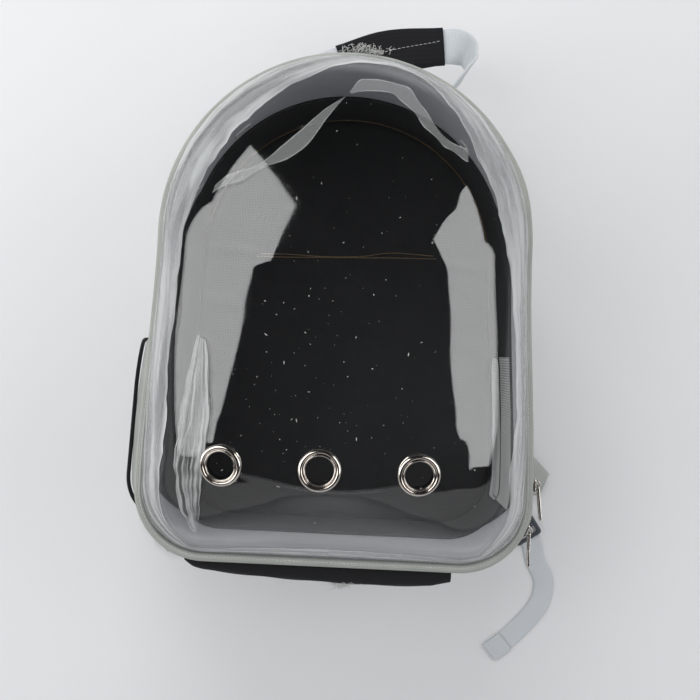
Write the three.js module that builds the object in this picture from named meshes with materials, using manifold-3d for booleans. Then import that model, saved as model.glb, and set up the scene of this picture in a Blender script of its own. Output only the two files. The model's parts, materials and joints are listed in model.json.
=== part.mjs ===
// Bubble pet carrier backpack, lying on its back as it rests by itself.
// X runs across the pack, Y from its base to its handle, and Z from the surface it lies on up through the bubble.
// The origin is on the resting face of the back pad. Sizes are in millimetres.
import * as THREE from "three";
import { mergeVertices } from "three/addons/utils/BufferGeometryUtils.js";
import Module from "manifold-3d";

const wasm = await Module();
wasm.setup();

// Plan outline of the front rim: a half-round arch over tapered sides and a rounded base
const RIM_WIDTH = 319;
const RIM_HEIGHT = 412;
const ARCH_RADIUS = 150;
const CORNER_RADIUS = 58;

// Levels and walls, from the resting surface upwards
const GAP = 0.3;
const BACK_PAD_THICKNESS = 11.7;
const BACK_BOARD_THICKNESS = 5;
const LINING_THICKNESS = 1.5;
const GUSSET_DEPTH = 188;
const GUSSET_WALL = 3;
const GUSSET_INSET = 4;
const REAR_LINING_DEPTH = 87;

// Bubble cover: a fabric-bound rim and a clear vacuum-formed shell
const RIM_BAND = 6;
const RIM_THICKNESS = 10;
const BUBBLE_HEIGHT = 85;
const BUBBLE_WALL = 2;
const SEAT_DEPTH = 9;

// Vent grommets through the lower face of the bubble
const GROMMET_PITCH = 72;
const GROMMET_SHIFT = -10;
const GROMMET_FROM_BASE = 86;
const GROMMET_RADIUS = 15.8;
const GROMMET_HOLE = 10.3;
const GROMMET_BARREL = 1.4;
const FLANGE_THICKNESS = 2.2;
const WASHER_THICKNESS = 1;

// Zipper round the cover, and the black fabric hinge along the base
const TAPE_WIDTH = 20;
const TAPE_THICKNESS = 1.2;
const TEETH_WIDTH = 5.4;
const TEETH_THICKNESS = 2.5;
const HINGE_LEFT = 118;
const HINGE_RIGHT = 98;
const HINGE_WIDTH = 33;
const HINGE_BULGE = 16;
const END_TAB_LENGTH = 19;
const END_TAB_THICKNESS = 4;
const END_TAB_WIDTH = 12;

// Zipper sliders and their swinging pulls
const SLIDER_LENGTH = 11;
const SLIDER_WIDTH = 8.4;
const SLIDER_THICKNESS = 4.4;
const BRIDGE_RISE = 3.6;
const BRIDGE_WIDTH = 2.4;
const BRIDGE_THICKNESS = 1.4;
const PULL_LENGTH = 30;
const PULL_WIDTH = 8;
const PULL_THICKNESS = 1.6;
const PULL_BAR = 1.8;
const PULL_SLOT_LENGTH = 22;
const PULL_SLOT_WIDTH = 4.6;
const UPPER_SLIDER_FROM_BASE = 71;
const LOWER_SLIDER_FROM_BASE = 35;
const SLIDERS = [
  { name: "upper", fromBase: UPPER_SLIDER_FROM_BASE, tilt: 5 },
  { name: "lower", fromBase: LOWER_SLIDER_FROM_BASE, tilt: 23 },
];

// Side window, and a pocket on each side of the gusset
const WINDOW_LENGTH = 134;
const WINDOW_WIDTH = 65;
const WINDOW_FROM_BASE = 41;
const WINDOW_FROM_BACK = 15;
const WINDOW_CORNER = 14;
const MESH_THICKNESS = 1;
const POCKET_LENGTH = 158;
const POCKET_WIDTH = 100;
const POCKET_FROM_BASE = 20;
const POCKET_FROM_BACK = 38;
const POCKET_CORNER = 40;
const POCKET_DEPTH = 19;
const POCKET_CROWN = 4;
const PIPING_RADIUS = 1.7;
const NET_LENGTH = 146;
const NET_FROM_BASE = 38;
const NET_BULGE = 20;
const NET_THICKNESS = 1.2;
const NET_SEAT = 0.6;
const BINDING_WIDTH = 7;
const BINDING_THICKNESS = 2.4;

// Carry handle on the arch
const HANDLE_SPAN = 172;
const HANDLE_RISE = 44;
const HANDLE_LEVEL = 100;
const HANDLE_WEBBING_WIDTH = 32;
const HANDLE_WEBBING_THICKNESS = 2.2;
const WRAP_WIDTH = 36;
const WRAP_THICKNESS = 8;
const WRAP_CHAMFER = 2;

// Shoulder straps, folded flat under the back
const STRAP_PAD_LENGTH = 262;
const STRAP_PAD_WIDTH = 52;
const STRAP_PAD_CHAMFER = 3;
const STRAP_SPREAD = 116;
const STRAP_TOP = 168;
const STRAP_WEBBING_WIDTH = 20;
const STRAP_WEBBING_THICKNESS = 1.8;
const BUCKLE_LENGTH = 24;
const BUCKLE_WIDTH = 29;
const BUCKLE_THICKNESS = 5;
const TAB_THICKNESS = 2.4;
const BACK_PAD_WIDTH = 100;
const BACK_PAD_LENGTH = 255;
const BACK_PAD_TOP = 105;
const BACK_PAD_CORNER = 26;

// Levels that follow from the sizes above
const BOARD_Z = BACK_PAD_THICKNESS + GAP;
const INSIDE_Z = BOARD_Z + BACK_BOARD_THICKNESS + GAP;
const REAR_LINING_Z = INSIDE_Z + LINING_THICKNESS + GAP;
const GUSSET_TOP = INSIDE_Z + GUSSET_DEPTH;
const RIM_Z = GUSSET_TOP + GAP;
const RIM_TOP = RIM_Z + RIM_THICKNESS;
const BUBBLE_Z = RIM_TOP - SEAT_DEPTH;
const TAPE_TOP = GUSSET_TOP - 0.5;
const TEETH_Z = TAPE_TOP - TAPE_WIDTH / 2;
const ARCH_Y = RIM_HEIGHT / 2 - ARCH_RADIUS;
const BASE_Y = -RIM_HEIGHT / 2;
const LINING_INSET = GUSSET_INSET + GUSSET_WALL + GAP;
const TAPE_INSET = GUSSET_INSET - GAP - TAPE_THICKNESS;
const TEETH_INSET = TAPE_INSET - GAP - TEETH_THICKNESS;

// Steps of the half outline
const BASE_STEPS = 4;
const CORNER_STEPS = 6;
const SIDE_STEPS = 6;
const ARCH_STEPS = 12;

const smooth = (t) => t * t * (3 - 2 * t);
const mix = (a, b, t) => a + (b - a) * t;
const radians = THREE.MathUtils.degToRad;

// Half of the plan outline, from the middle of the base to the top of the arch
function halfOutline(inset) {
  const cornerX = RIM_WIDTH / 2 - CORNER_RADIUS;
  const cornerY = BASE_Y + CORNER_RADIUS;
  const corner = CORNER_RADIUS - inset;
  const side = RIM_WIDTH / 2 - inset;
  const arch = ARCH_RADIUS - inset;
  const points = [];
  for (let i = 0; i < BASE_STEPS; i++) {
    points.push(new THREE.Vector2((cornerX * i) / BASE_STEPS, BASE_Y + inset));
  }
  for (let i = 0; i < CORNER_STEPS; i++) {
    const a = (Math.PI / 2) * (i / CORNER_STEPS - 1);
    points.push(new THREE.Vector2(cornerX + corner * Math.cos(a), cornerY + corner * Math.sin(a)));
  }
  for (let i = 0; i < SIDE_STEPS; i++) {
    const t = i / SIDE_STEPS;
    points.push(new THREE.Vector2(mix(side, arch, smooth(t)), mix(cornerY, ARCH_Y, t)));
  }
  for (let i = 0; i <= ARCH_STEPS; i++) {
    const a = ((Math.PI / 2) * i) / ARCH_STEPS;
    points.push(new THREE.Vector2(arch * Math.cos(a), ARCH_Y + arch * Math.sin(a)));
  }
  return points;
}

// The whole plan outline, anticlockwise, drawn in by inset
function outline(inset) {
  const right = halfOutline(inset);
  const left = right.slice(1, -1).reverse();
  return [...right, ...left.map((p) => new THREE.Vector2(-p.x, p.y))];
}

// X of the right-hand outline at a given Y, drawn in by inset
function wallX(y, inset) {
  const points = halfOutline(inset);
  for (let i = 1; i < points.length; i++) {
    const [a, b] = [points[i - 1], points[i]];
    if (b.y > a.y && y >= a.y && y <= b.y) return mix(a.x, b.x, (y - a.y) / (b.y - a.y));
  }
  return 0;
}

// Y of the base outline at a given X, drawn in by inset
function baseY(x, inset) {
  const over = Math.max(Math.abs(x) - (RIM_WIDTH / 2 - CORNER_RADIUS), 0);
  const corner = CORNER_RADIUS - inset;
  return BASE_Y + CORNER_RADIUS - Math.sqrt(corner ** 2 - over ** 2);
}

// A geometry from points and faces, turned so that its faces point out
function closed(points, faces) {
  let volume = 0;
  const cross = new THREE.Vector3();
  for (const [a, b, c] of faces) {
    volume += points[a].dot(cross.crossVectors(points[b], points[c]));
  }
  const indices = faces.flatMap(([a, b, c]) => (volume > 0 ? [a, b, c] : [a, c, b]));
  const geometry = new THREE.BufferGeometry();
  geometry.setAttribute(
    "position",
    new THREE.Float32BufferAttribute(points.flatMap((p) => p.toArray()), 3),
  );
  geometry.setIndex(indices);
  geometry.computeVertexNormals();
  return geometry;
}

// Triangles of a flat cap that work inwards from both ends of a ring, so that a ring folded on itself fills well
function foldedCap(count) {
  const triangles = [];
  let [low, high] = [0, count - 1];
  while (high - low > 1) {
    triangles.push([low, low + 1, high]);
    low += 1;
    if (high - low > 1) {
      triangles.push([low, high - 1, high]);
      high -= 1;
    }
  }
  return triangles;
}

// Skins rings of equally many points: joined end to start, or with a flat cap on each end
function loft(rings, loop = false) {
  const count = rings[0].length;
  const faces = [];
  const last = loop ? rings.length : rings.length - 1;
  for (let i = 0; i < last; i++) {
    const here = i * count;
    const next = ((i + 1) % rings.length) * count;
    for (let j = 0; j < count; j++) {
      const k = (j + 1) % count;
      faces.push([here + j, here + k, next + k], [here + j, next + k, next + j]);
    }
  }
  if (!loop) {
    const end = (rings.length - 1) * count;
    for (const [a, b, c] of foldedCap(count)) {
      faces.push([a, c, b], [end + a, end + b, end + c]);
    }
  }
  return closed(rings.flat(), faces);
}

// A ring that follows the plan outline, with a section given as corners of inset and level
function ringSolid(section) {
  const rings = section.map(({ inset, z }) =>
    outline(inset).map((p) => new THREE.Vector3(p.x, p.y, z)),
  );
  return loft(rings, true);
}

// A plain upright wall along the outline
function ringWall(inset, thickness, z0, z1) {
  return ringSolid([
    { inset, z: z0 },
    { inset, z: z1 },
    { inset: inset + thickness, z: z1 },
    { inset: inset + thickness, z: z0 },
  ]);
}

// A flat plate of the outline's shape
function plate(inset, z0, z1) {
  const shape = new THREE.Shape(outline(inset));
  return new THREE.ExtrudeGeometry(shape, { depth: z1 - z0, bevelEnabled: false }).translate(0, 0, z0);
}

// A rounded rectangle centred on the origin
function roundedRectangle(width, height, radius, arcSteps) {
  const points = [];
  const corners = [[1, -1], [1, 1], [-1, 1], [-1, -1]];
  corners.forEach(([sx, sy], c) => {
    for (let i = 0; i <= arcSteps; i++) {
      const a = radians(-90 + 90 * (c + i / arcSteps));
      points.push(new THREE.Vector2(
        sx * (width / 2 - radius) + radius * Math.cos(a),
        sy * (height / 2 - radius) + radius * Math.sin(a),
      ));
    }
  });
  return points;
}

// Solid booleans
function toManifold(geometry) {
  const bare = new THREE.BufferGeometry();
  const source = geometry.index ? geometry.toNonIndexed() : geometry;
  bare.setAttribute("position", source.getAttribute("position"));
  const merged = mergeVertices(bare, 1e-4);
  return new wasm.Manifold(new wasm.Mesh({
    numProp: 3,
    vertProperties: merged.attributes.position.array,
    triVerts: new Uint32Array(merged.index.array),
  }));
}

function toGeometry(manifold) {
  const { vertProperties, triVerts } = manifold.getMesh();
  const geometry = new THREE.BufferGeometry();
  geometry.setAttribute("position", new THREE.BufferAttribute(vertProperties, 3));
  geometry.setIndex(new THREE.BufferAttribute(triVerts, 1));
  geometry.computeVertexNormals();
  return geometry;
}

function subtract(body, ...tools) {
  return toGeometry(tools.reduce((left, tool) => left.subtract(toManifold(tool)), toManifold(body)));
}

function intersect(body, tool) {
  return toGeometry(toManifold(body).intersect(toManifold(tool)));
}

function join(...geometries) {
  return toGeometry(geometries.map(toManifold).reduce((a, b) => a.add(b)));
}

// A strap: a flat section swept along smoothed stations. Turn 0 lays its width flat, 90 stands it upright
function strap(stations, steps, chamfer = 0) {
  const curve = new THREE.CatmullRomCurve3(stations.map((s) => new THREE.Vector3(s.x, s.y, s.z)));
  const up = new THREE.Vector3(0, 0, 1);
  const rings = [];
  for (let i = 0; i <= steps; i++) {
    const t = i / steps;
    const place = t * (stations.length - 1);
    const index = Math.min(Math.floor(place), stations.length - 2);
    const share = place - index;
    const value = (key) => mix(stations[index][key], stations[index + 1][key], share);
    const along = curve.getTangent(t);
    const flat = new THREE.Vector3().crossVectors(up, along).normalize();
    const stand = new THREE.Vector3().crossVectors(along, flat).normalize();
    const turn = radians(value("turn"));
    const wide = flat.clone().multiplyScalar(Math.cos(turn)).addScaledVector(stand, Math.sin(turn));
    const thick = new THREE.Vector3().crossVectors(along, wide).normalize();
    const [w, h] = [value("width") / 2, value("thickness") / 2];
    const corners = chamfer
      ? [[w, h - chamfer], [w - chamfer, h], [chamfer - w, h], [-w, h - chamfer],
        [-w, chamfer - h], [chamfer - w, -h], [w - chamfer, -h], [w, chamfer - h]]
      : [[w, h], [-w, h], [-w, -h], [w, -h]];
    const centre = curve.getPoint(t);
    rings.push(corners.map(([a, b]) => centre.clone().addScaledVector(wide, a).addScaledVector(thick, b)));
  }
  return loft(rings);
}

// The bubble's profile: rise as a share of its height, and for each side how far in from the rim to the crown
const BUBBLE_PROFILE = [
  { rise: 0.0, side: 0.0, top: 0.0, base: 0.0 },
  { rise: 0.06, side: 0.0, top: 0.0, base: 0.0 },
  { rise: 0.24, side: 0.006, top: 0.005, base: 0.07 },
  { rise: 0.42, side: 0.032, top: 0.026, base: 0.127 },
  { rise: 0.6, side: 0.092, top: 0.074, base: 0.19 },
  { rise: 0.76, side: 0.192, top: 0.156, base: 0.25 },
  { rise: 0.88, side: 0.328, top: 0.272, base: 0.293 },
  { rise: 0.93, side: 0.426, top: 0.358, base: 0.315 },
  { rise: 0.97, side: 0.555, top: 0.477, base: 0.345 },
  { rise: 0.993, side: 0.717, top: 0.635, base: 0.58 },
  { rise: 1.0, side: 1.0, top: 1.0, base: 1.0 },
];
const BUBBLE_INSET = RIM_BAND + GAP;

// The profile's inward shares in one plan direction from the crown
function profileTowards(x, y) {
  const across = (x / (RIM_WIDTH / 2)) ** 2;
  const along = (y / (RIM_HEIGHT / 2)) ** 2;
  const side = across / (across + along);
  const end = y > 0 ? "top" : "base";
  return BUBBLE_PROFILE.map((row) => ({ rise: row.rise, inward: mix(row[end], row.side, side) }));
}

// One skin of the bubble: a ring for each row of the profile, closing on the crown
function bubbleRings(offset) {
  const foot = outline(BUBBLE_INSET + offset);
  return BUBBLE_PROFILE.slice(0, -1).map((_, level) =>
    foot.map((p) => {
      const { rise, inward } = profileTowards(p.x, p.y)[level];
      return new THREE.Vector3(
        p.x * (1 - inward),
        p.y * (1 - inward),
        BUBBLE_Z + rise * (BUBBLE_HEIGHT - offset),
      );
    }),
  );
}

function bubbleShell() {
  const skins = [bubbleRings(0), bubbleRings(BUBBLE_WALL)];
  const crowns = [BUBBLE_HEIGHT, BUBBLE_HEIGHT - BUBBLE_WALL];
  const points = [];
  const faces = [];
  const starts = skins.map((rings, side) => {
    const start = points.length;
    const count = rings[0].length;
    points.push(...rings.flat(), new THREE.Vector3(0, 0, BUBBLE_Z + crowns[side]));
    const pole = points.length - 1;
    const add = (a, b, c) => faces.push(side ? [a, c, b] : [a, b, c]);
    rings.forEach((_, level) => {
      for (let j = 0; j < count; j++) {
        const k = (j + 1) % count;
        const here = start + level * count;
        if (level === rings.length - 1) {
          add(here + j, here + k, pole);
          continue;
        }
        add(here + j, here + k, here + count + k);
        add(here + j, here + count + k, here + count + j);
      }
    });
    return start;
  });
  const count = skins[0][0].length;
  for (let j = 0; j < count; j++) {
    const k = (j + 1) % count;
    const [outer, inner] = starts;
    faces.push([outer + j, inner + j, inner + k], [outer + j, inner + k, outer + k]);
  }
  return closed(points, faces);
}

// Height of the bubble's outer skin over a plan point
function bubbleHeight(x, y) {
  const foot = outline(BUBBLE_INSET);
  const direction = new THREE.Vector2(x, y).normalize();
  let reach = 0;
  foot.forEach((a, i) => {
    const b = foot[(i + 1) % foot.length];
    const edge = b.clone().sub(a);
    const turn = direction.cross(edge);
    const along = a.cross(edge) / turn;
    const share = a.cross(direction) / turn;
    if (share >= 0 && share <= 1 && along > 0) reach = along;
  });
  const inward = 1 - Math.hypot(x, y) / reach;
  const rows = profileTowards(x, y);
  const above = rows.findIndex((row) => row.inward >= inward && row.inward > 0);
  const [a, b] = [rows[above - 1], rows[above]];
  const share = (inward - a.inward) / (b.inward - a.inward);
  return BUBBLE_Z + BUBBLE_HEIGHT * mix(a.rise, b.rise, share);
}

// Where each grommet sits, square to the bubble's skin
function grommetPlaces() {
  const reach = GROMMET_RADIUS / 2;
  return [-1, 0, 1].map((step) => {
    const x = GROMMET_SHIFT + step * GROMMET_PITCH;
    const y = BASE_Y + GROMMET_FROM_BASE;
    const slopeX = (bubbleHeight(x + reach, y) - bubbleHeight(x - reach, y)) / (2 * reach);
    const slopeY = (bubbleHeight(x, y + reach) - bubbleHeight(x, y - reach)) / (2 * reach);
    const normal = new THREE.Vector3(-slopeX, -slopeY, 1).normalize();
    const turn = new THREE.Quaternion().setFromUnitVectors(new THREE.Vector3(0, 0, 1), normal);
    const position = new THREE.Vector3(x, y, bubbleHeight(x, y));
    return { position, turn, ...seatLevels(position, normal) };
  });
}

// How far the skin stands above and below the flange's plane, under the flange
function seatLevels(position, normal) {
  const levels = [];
  for (let i = 0; i < 24; i++) {
    for (const radius of [GROMMET_HOLE, GROMMET_RADIUS]) {
      const a = (Math.PI / 12) * i;
      const x = position.x + radius * Math.cos(a);
      const y = position.y + radius * Math.sin(a);
      const point = new THREE.Vector3(x, y, bubbleHeight(x, y));
      levels.push(point.sub(position).dot(normal));
    }
  }
  return { front: Math.max(...levels) + GAP, back: -Math.min(...levels) + 2 * GAP };
}

// Moves a geometry whose axis is Z to a place on the bubble
function seated(geometry, place) {
  return geometry.applyQuaternion(place.turn).translate(...place.position.toArray());
}

function grommet(place) {
  const barrel = GROMMET_HOLE + GROMMET_BARREL;
  const back = -BUBBLE_WALL - place.back;
  const crown = place.front + FLANGE_THICKNESS;
  const profile = [
    [GROMMET_HOLE, back - WASHER_THICKNESS],
    [GROMMET_RADIUS - 1, back - WASHER_THICKNESS],
    [GROMMET_RADIUS - 1, back],
    [barrel, back],
    [barrel, place.front],
    [GROMMET_RADIUS, place.front],
    [GROMMET_RADIUS - 1, crown - 0.8],
    [mix(GROMMET_HOLE, GROMMET_RADIUS, 0.5), crown],
    [GROMMET_HOLE + 0.7, crown - 0.7],
    [GROMMET_HOLE, crown - 1.7],
    [GROMMET_HOLE, back - WASHER_THICKNESS],
  ].map(([r, z]) => new THREE.Vector2(r, z));
  return new THREE.LatheGeometry(profile, 24).rotateX(Math.PI / 2);
}

// A rounded prism along X that covers one side of the gusset
function sidePrism(length, width, corner, fromBase, fromBack, shrink = 0) {
  const size = [length - 2 * shrink, width - 2 * shrink];
  const shape = new THREE.Shape(roundedRectangle(...size, corner - shrink, 4));
  const prism = new THREE.ExtrudeGeometry(shape, { depth: RIM_WIDTH / 2, bevelEnabled: false });
  const turn = new THREE.Matrix4().makeBasis(
    new THREE.Vector3(0, 1, 0),
    new THREE.Vector3(0, 0, 1),
    new THREE.Vector3(1, 0, 0),
  );
  return prism
    .applyMatrix4(turn)
    .translate(RIM_WIDTH / 4, BASE_Y + fromBase + length / 2, INSIDE_Z + fromBack + width / 2);
}

const windowPrism = (shrink = 0) =>
  sidePrism(WINDOW_LENGTH, WINDOW_WIDTH, WINDOW_CORNER, WINDOW_FROM_BASE, WINDOW_FROM_BACK, shrink);

function sideGusset() {
  const wall = ringWall(GUSSET_INSET, GUSSET_WALL, INSIDE_Z, GUSSET_TOP);
  return subtract(wall, windowPrism());
}

function rearLining() {
  const wall = ringWall(LINING_INSET, LINING_THICKNESS, REAR_LINING_Z, INSIDE_Z + REAR_LINING_DEPTH);
  return subtract(wall, windowPrism());
}

function windowMesh() {
  const inset = GUSSET_INSET + (GUSSET_WALL - MESH_THICKNESS) / 2;
  const wall = ringWall(inset, MESH_THICKNESS, INSIDE_Z, INSIDE_Z + REAR_LINING_DEPTH);
  return intersect(wall, windowPrism(GAP));
}

// The padded pocket on the left side, as deep as its gusset, following the wall
function leftPocket() {
  const depth = ringSolid([
    { inset: GUSSET_INSET - GAP, z: INSIDE_Z + POCKET_FROM_BACK },
    { inset: GUSSET_INSET - GAP, z: INSIDE_Z + POCKET_FROM_BACK + POCKET_WIDTH },
    { inset: POCKET_CROWN - POCKET_DEPTH, z: INSIDE_Z + POCKET_FROM_BACK + POCKET_WIDTH },
    { inset: -POCKET_DEPTH, z: INSIDE_Z + POCKET_FROM_BACK + POCKET_WIDTH * 0.7 },
    { inset: -POCKET_DEPTH, z: INSIDE_Z + POCKET_FROM_BACK + POCKET_WIDTH * 0.3 },
    { inset: POCKET_CROWN - POCKET_DEPTH, z: INSIDE_Z + POCKET_FROM_BACK },
  ]);
  const prism = sidePrism(POCKET_LENGTH, POCKET_WIDTH, POCKET_CORNER, POCKET_FROM_BASE, POCKET_FROM_BACK);
  return intersect(depth, prism.translate(-RIM_WIDTH, 0, 0));
}

// Black piping round the left pocket's outer face
function pocketPiping() {
  const edge = PIPING_RADIUS + 0.6;
  const size = [POCKET_LENGTH - 2 * edge, POCKET_WIDTH - 2 * edge];
  const path = roundedRectangle(...size, POCKET_CORNER - edge, 7);
  const middle = new THREE.Vector2(BASE_Y + POCKET_FROM_BASE + POCKET_LENGTH / 2,
    INSIDE_Z + POCKET_FROM_BACK + POCKET_WIDTH / 2);
  const centres = path.map((p) => {
    const y = middle.x + p.x;
    const level = Math.abs(p.y) / (POCKET_WIDTH / 2);
    const drop = POCKET_CROWN * Math.max((level - 0.4) / 0.6, 0);
    return new THREE.Vector3(-wallX(y, drop - POCKET_DEPTH - 1.2 * PIPING_RADIUS - GAP), y, middle.y + p.y);
  });
  const rings = centres.map((centre, i) => {
    const before = centres[(i + centres.length - 1) % centres.length];
    const after = centres[(i + 1) % centres.length];
    const along = after.clone().sub(before).normalize();
    const out = new THREE.Vector3(-1, 0, 0).addScaledVector(along, along.x).normalize();
    const side = new THREE.Vector3().crossVectors(along, out);
    return [0, 1, 2, 3, 4, 5].map((k) => {
      const a = (Math.PI / 3) * k;
      return centre.clone()
        .addScaledVector(out, PIPING_RADIUS * Math.cos(a))
        .addScaledVector(side, PIPING_RADIUS * Math.sin(a));
    });
  });
  return loft(rings, true);
}

// How far the right-hand net stands off the wall: share along it from base to mouth, and across it
const NET_SWELL = [
  { along: 0, out: 0.04 },
  { along: 0.04, out: 0.12 },
  { along: 0.09, out: 0.22 },
  { along: 0.14, out: 0.32 },
  { along: 0.25, out: 0.52 },
  { along: 0.45, out: 0.82 },
  { along: 0.7, out: 0.98 },
  { along: 0.9, out: 1.0 },
  { along: 1, out: 0.84 },
];
const NET_ACROSS = [0, 0.55, 0.9, 1, 0.9, 0.55, 0];

function netPoint(row, column, lift) {
  const y = BASE_Y + NET_FROM_BASE + NET_LENGTH * row.along;
  const share = column / (NET_ACROSS.length - 1);
  const out = NET_SEAT + NET_BULGE * row.out * NET_ACROSS[column] + lift;
  const z = INSIDE_Z + POCKET_FROM_BACK + POCKET_WIDTH * share;
  return new THREE.Vector3(wallX(y, GUSSET_INSET - out), y, z);
}

function sideNet() {
  const rings = NET_SWELL.map((row) => {
    const columns = NET_ACROSS.map((_, i) => i);
    const outer = columns.map((i) => netPoint(row, i, NET_THICKNESS));
    const inner = columns.map((i) => netPoint(row, i, 0));
    return [...outer, ...inner.reverse()];
  });
  return loft(rings);
}

// Black binding folded over the net's mouth
function netBinding() {
  const mouth = NET_SWELL[NET_SWELL.length - 1];
  const rings = NET_ACROSS.map((_, i) => {
    const foot = netPoint(mouth, i, 0);
    const low = foot.y + GAP;
    const across = [-GAP / 2, BINDING_THICKNESS];
    return [
      new THREE.Vector3(foot.x + across[0] + GAP / 2, low, foot.z),
      new THREE.Vector3(foot.x + across[1], low, foot.z),
      new THREE.Vector3(foot.x + across[1], low + BINDING_WIDTH, foot.z),
      new THREE.Vector3(foot.x + across[0] + GAP / 2, low + BINDING_WIDTH, foot.z),
    ];
  });
  return loft(rings);
}

// The part of a full ring that the hinge leaves free
function openRing(geometry) {
  const block = new THREE.BoxGeometry(HINGE_LEFT + HINGE_RIGHT + 2 * GAP, CORNER_RADIUS, RIM_Z * 2);
  return subtract(geometry, block.translate((HINGE_RIGHT - HINGE_LEFT) / 2, BASE_Y, 0));
}

function zipperTape() {
  return openRing(ringWall(TAPE_INSET, TAPE_THICKNESS, TAPE_TOP - TAPE_WIDTH, TAPE_TOP));
}

function zipperTeeth() {
  return openRing(ringWall(TEETH_INSET, TEETH_THICKNESS, TEETH_Z - TEETH_WIDTH / 2, TEETH_Z + TEETH_WIDTH / 2));
}

// The padded fabric hinge: how far it stands out of the base at shares of its length from left to right
const HINGE_SWELL = [
  { along: 0, out: 0.3 },
  { along: 0.04, out: 0.38 },
  { along: 0.08, out: 0.46 },
  { along: 0.25, out: 0.72 },
  { along: 0.5, out: 0.95 },
  { along: 0.75, out: 1.0 },
  { along: 0.93, out: 0.92 },
  { along: 1, out: 0.72 },
];

function hingeStrip() {
  const rings = HINGE_SWELL.map(({ along, out }) => {
    const x = mix(-HINGE_LEFT, HINGE_RIGHT, along);
    const wall = baseY(x, GUSSET_INSET - GAP);
    const bulge = HINGE_BULGE * out;
    const top = GUSSET_TOP;
    return [
      [0, 0], [0.5, 0], [0.92, 0.12], [1, 0.4], [0.86, 0.78], [0.5, 1], [0, 1],
    ].map(([depth, down]) => new THREE.Vector3(x, wall - bulge * depth, top - HINGE_WIDTH * down));
  });
  return loft(rings);
}

function hingeEndTab() {
  const y = baseY(HINGE_RIGHT, GUSSET_INSET - GAP) - HINGE_BULGE * 0.4;
  const z = GUSSET_TOP - HINGE_WIDTH / 2 - END_TAB_WIDTH / 2;
  const station = { turn: 90, width: END_TAB_WIDTH, thickness: END_TAB_THICKNESS };
  return strap([
    { ...station, x: HINGE_RIGHT + GAP, y, z },
    { ...station, x: HINGE_RIGHT + END_TAB_LENGTH * 0.5, y: y + 1, z },
    { ...station, x: HINGE_RIGHT + END_TAB_LENGTH, y: y + 4, z: z - 1 },
  ], 2);
}

function coverRim() {
  const soft = 2.4;
  return ringSolid([
    { inset: 0, z: RIM_Z + soft },
    { inset: 0, z: RIM_TOP - soft },
    { inset: soft, z: RIM_TOP },
    { inset: RIM_BAND - 1, z: RIM_TOP },
    { inset: RIM_BAND, z: RIM_TOP - 1 },
    { inset: RIM_BAND, z: RIM_Z },
    { inset: soft, z: RIM_Z },
  ]);
}

// A slider's place on the teeth: X out of the wall, Y along the zipper
function sliderPlace({ fromBase }) {
  const y = BASE_Y + fromBase;
  const reach = SLIDER_LENGTH / 2;
  const along = new THREE.Vector2(
    wallX(y + reach, TEETH_INSET) - wallX(y - reach, TEETH_INSET),
    SLIDER_LENGTH,
  );
  const clear = GAP + 0.35;
  return { position: [wallX(y, TEETH_INSET) + clear, y, TEETH_Z], turn: along.angle() - Math.PI / 2 };
}

// The slider's body and the bridge that holds its pull
function sliderBody() {
  const body = new THREE.BoxGeometry(SLIDER_THICKNESS, SLIDER_LENGTH, SLIDER_WIDTH);
  const length = SLIDER_LENGTH - 1;
  const rise = BRIDGE_RISE + BRIDGE_THICKNESS + 1;
  const block = new THREE.BoxGeometry(rise, length, BRIDGE_WIDTH);
  const space = new THREE.BoxGeometry(BRIDGE_RISE, length - 2 * BRIDGE_THICKNESS, BRIDGE_WIDTH * 2);
  const bridge = subtract(
    block.translate(SLIDER_THICKNESS + rise / 2 - 1, 0, 0),
    space.translate(SLIDER_THICKNESS + BRIDGE_RISE / 2, 0, 0),
  );
  return join(body.translate(SLIDER_THICKNESS / 2, 0, 0), bridge);
}

// The pull's hinge line, out of the wall from the slider's foot
const PIVOT_RISE = SLIDER_THICKNESS + BRIDGE_RISE / 2;

// The pull: a slotted plate whose end bar turns under the bridge
function pullPlate() {
  const outer = new THREE.Shape(roundedRectangle(PULL_LENGTH, PULL_WIDTH, 2.2, 3));
  const slot = roundedRectangle(PULL_SLOT_LENGTH, PULL_SLOT_WIDTH, 1.2, 2);
  const middle = PULL_BAR / 2 + PULL_SLOT_LENGTH / 2;
  outer.holes.push(new THREE.Path(slot.map((p) =>
    new THREE.Vector2(p.x + middle - PULL_LENGTH / 2 + PULL_BAR / 2, p.y))));
  const turn = new THREE.Matrix4().makeBasis(
    new THREE.Vector3(0, -1, 0),
    new THREE.Vector3(0, 0, 1),
    new THREE.Vector3(-1, 0, 0),
  );
  return new THREE.ExtrudeGeometry(outer, { depth: PULL_THICKNESS, bevelEnabled: false })
    .translate(PULL_LENGTH / 2 - PULL_BAR / 2, 0, -PULL_THICKNESS / 2)
    .applyMatrix4(turn);
}

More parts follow.
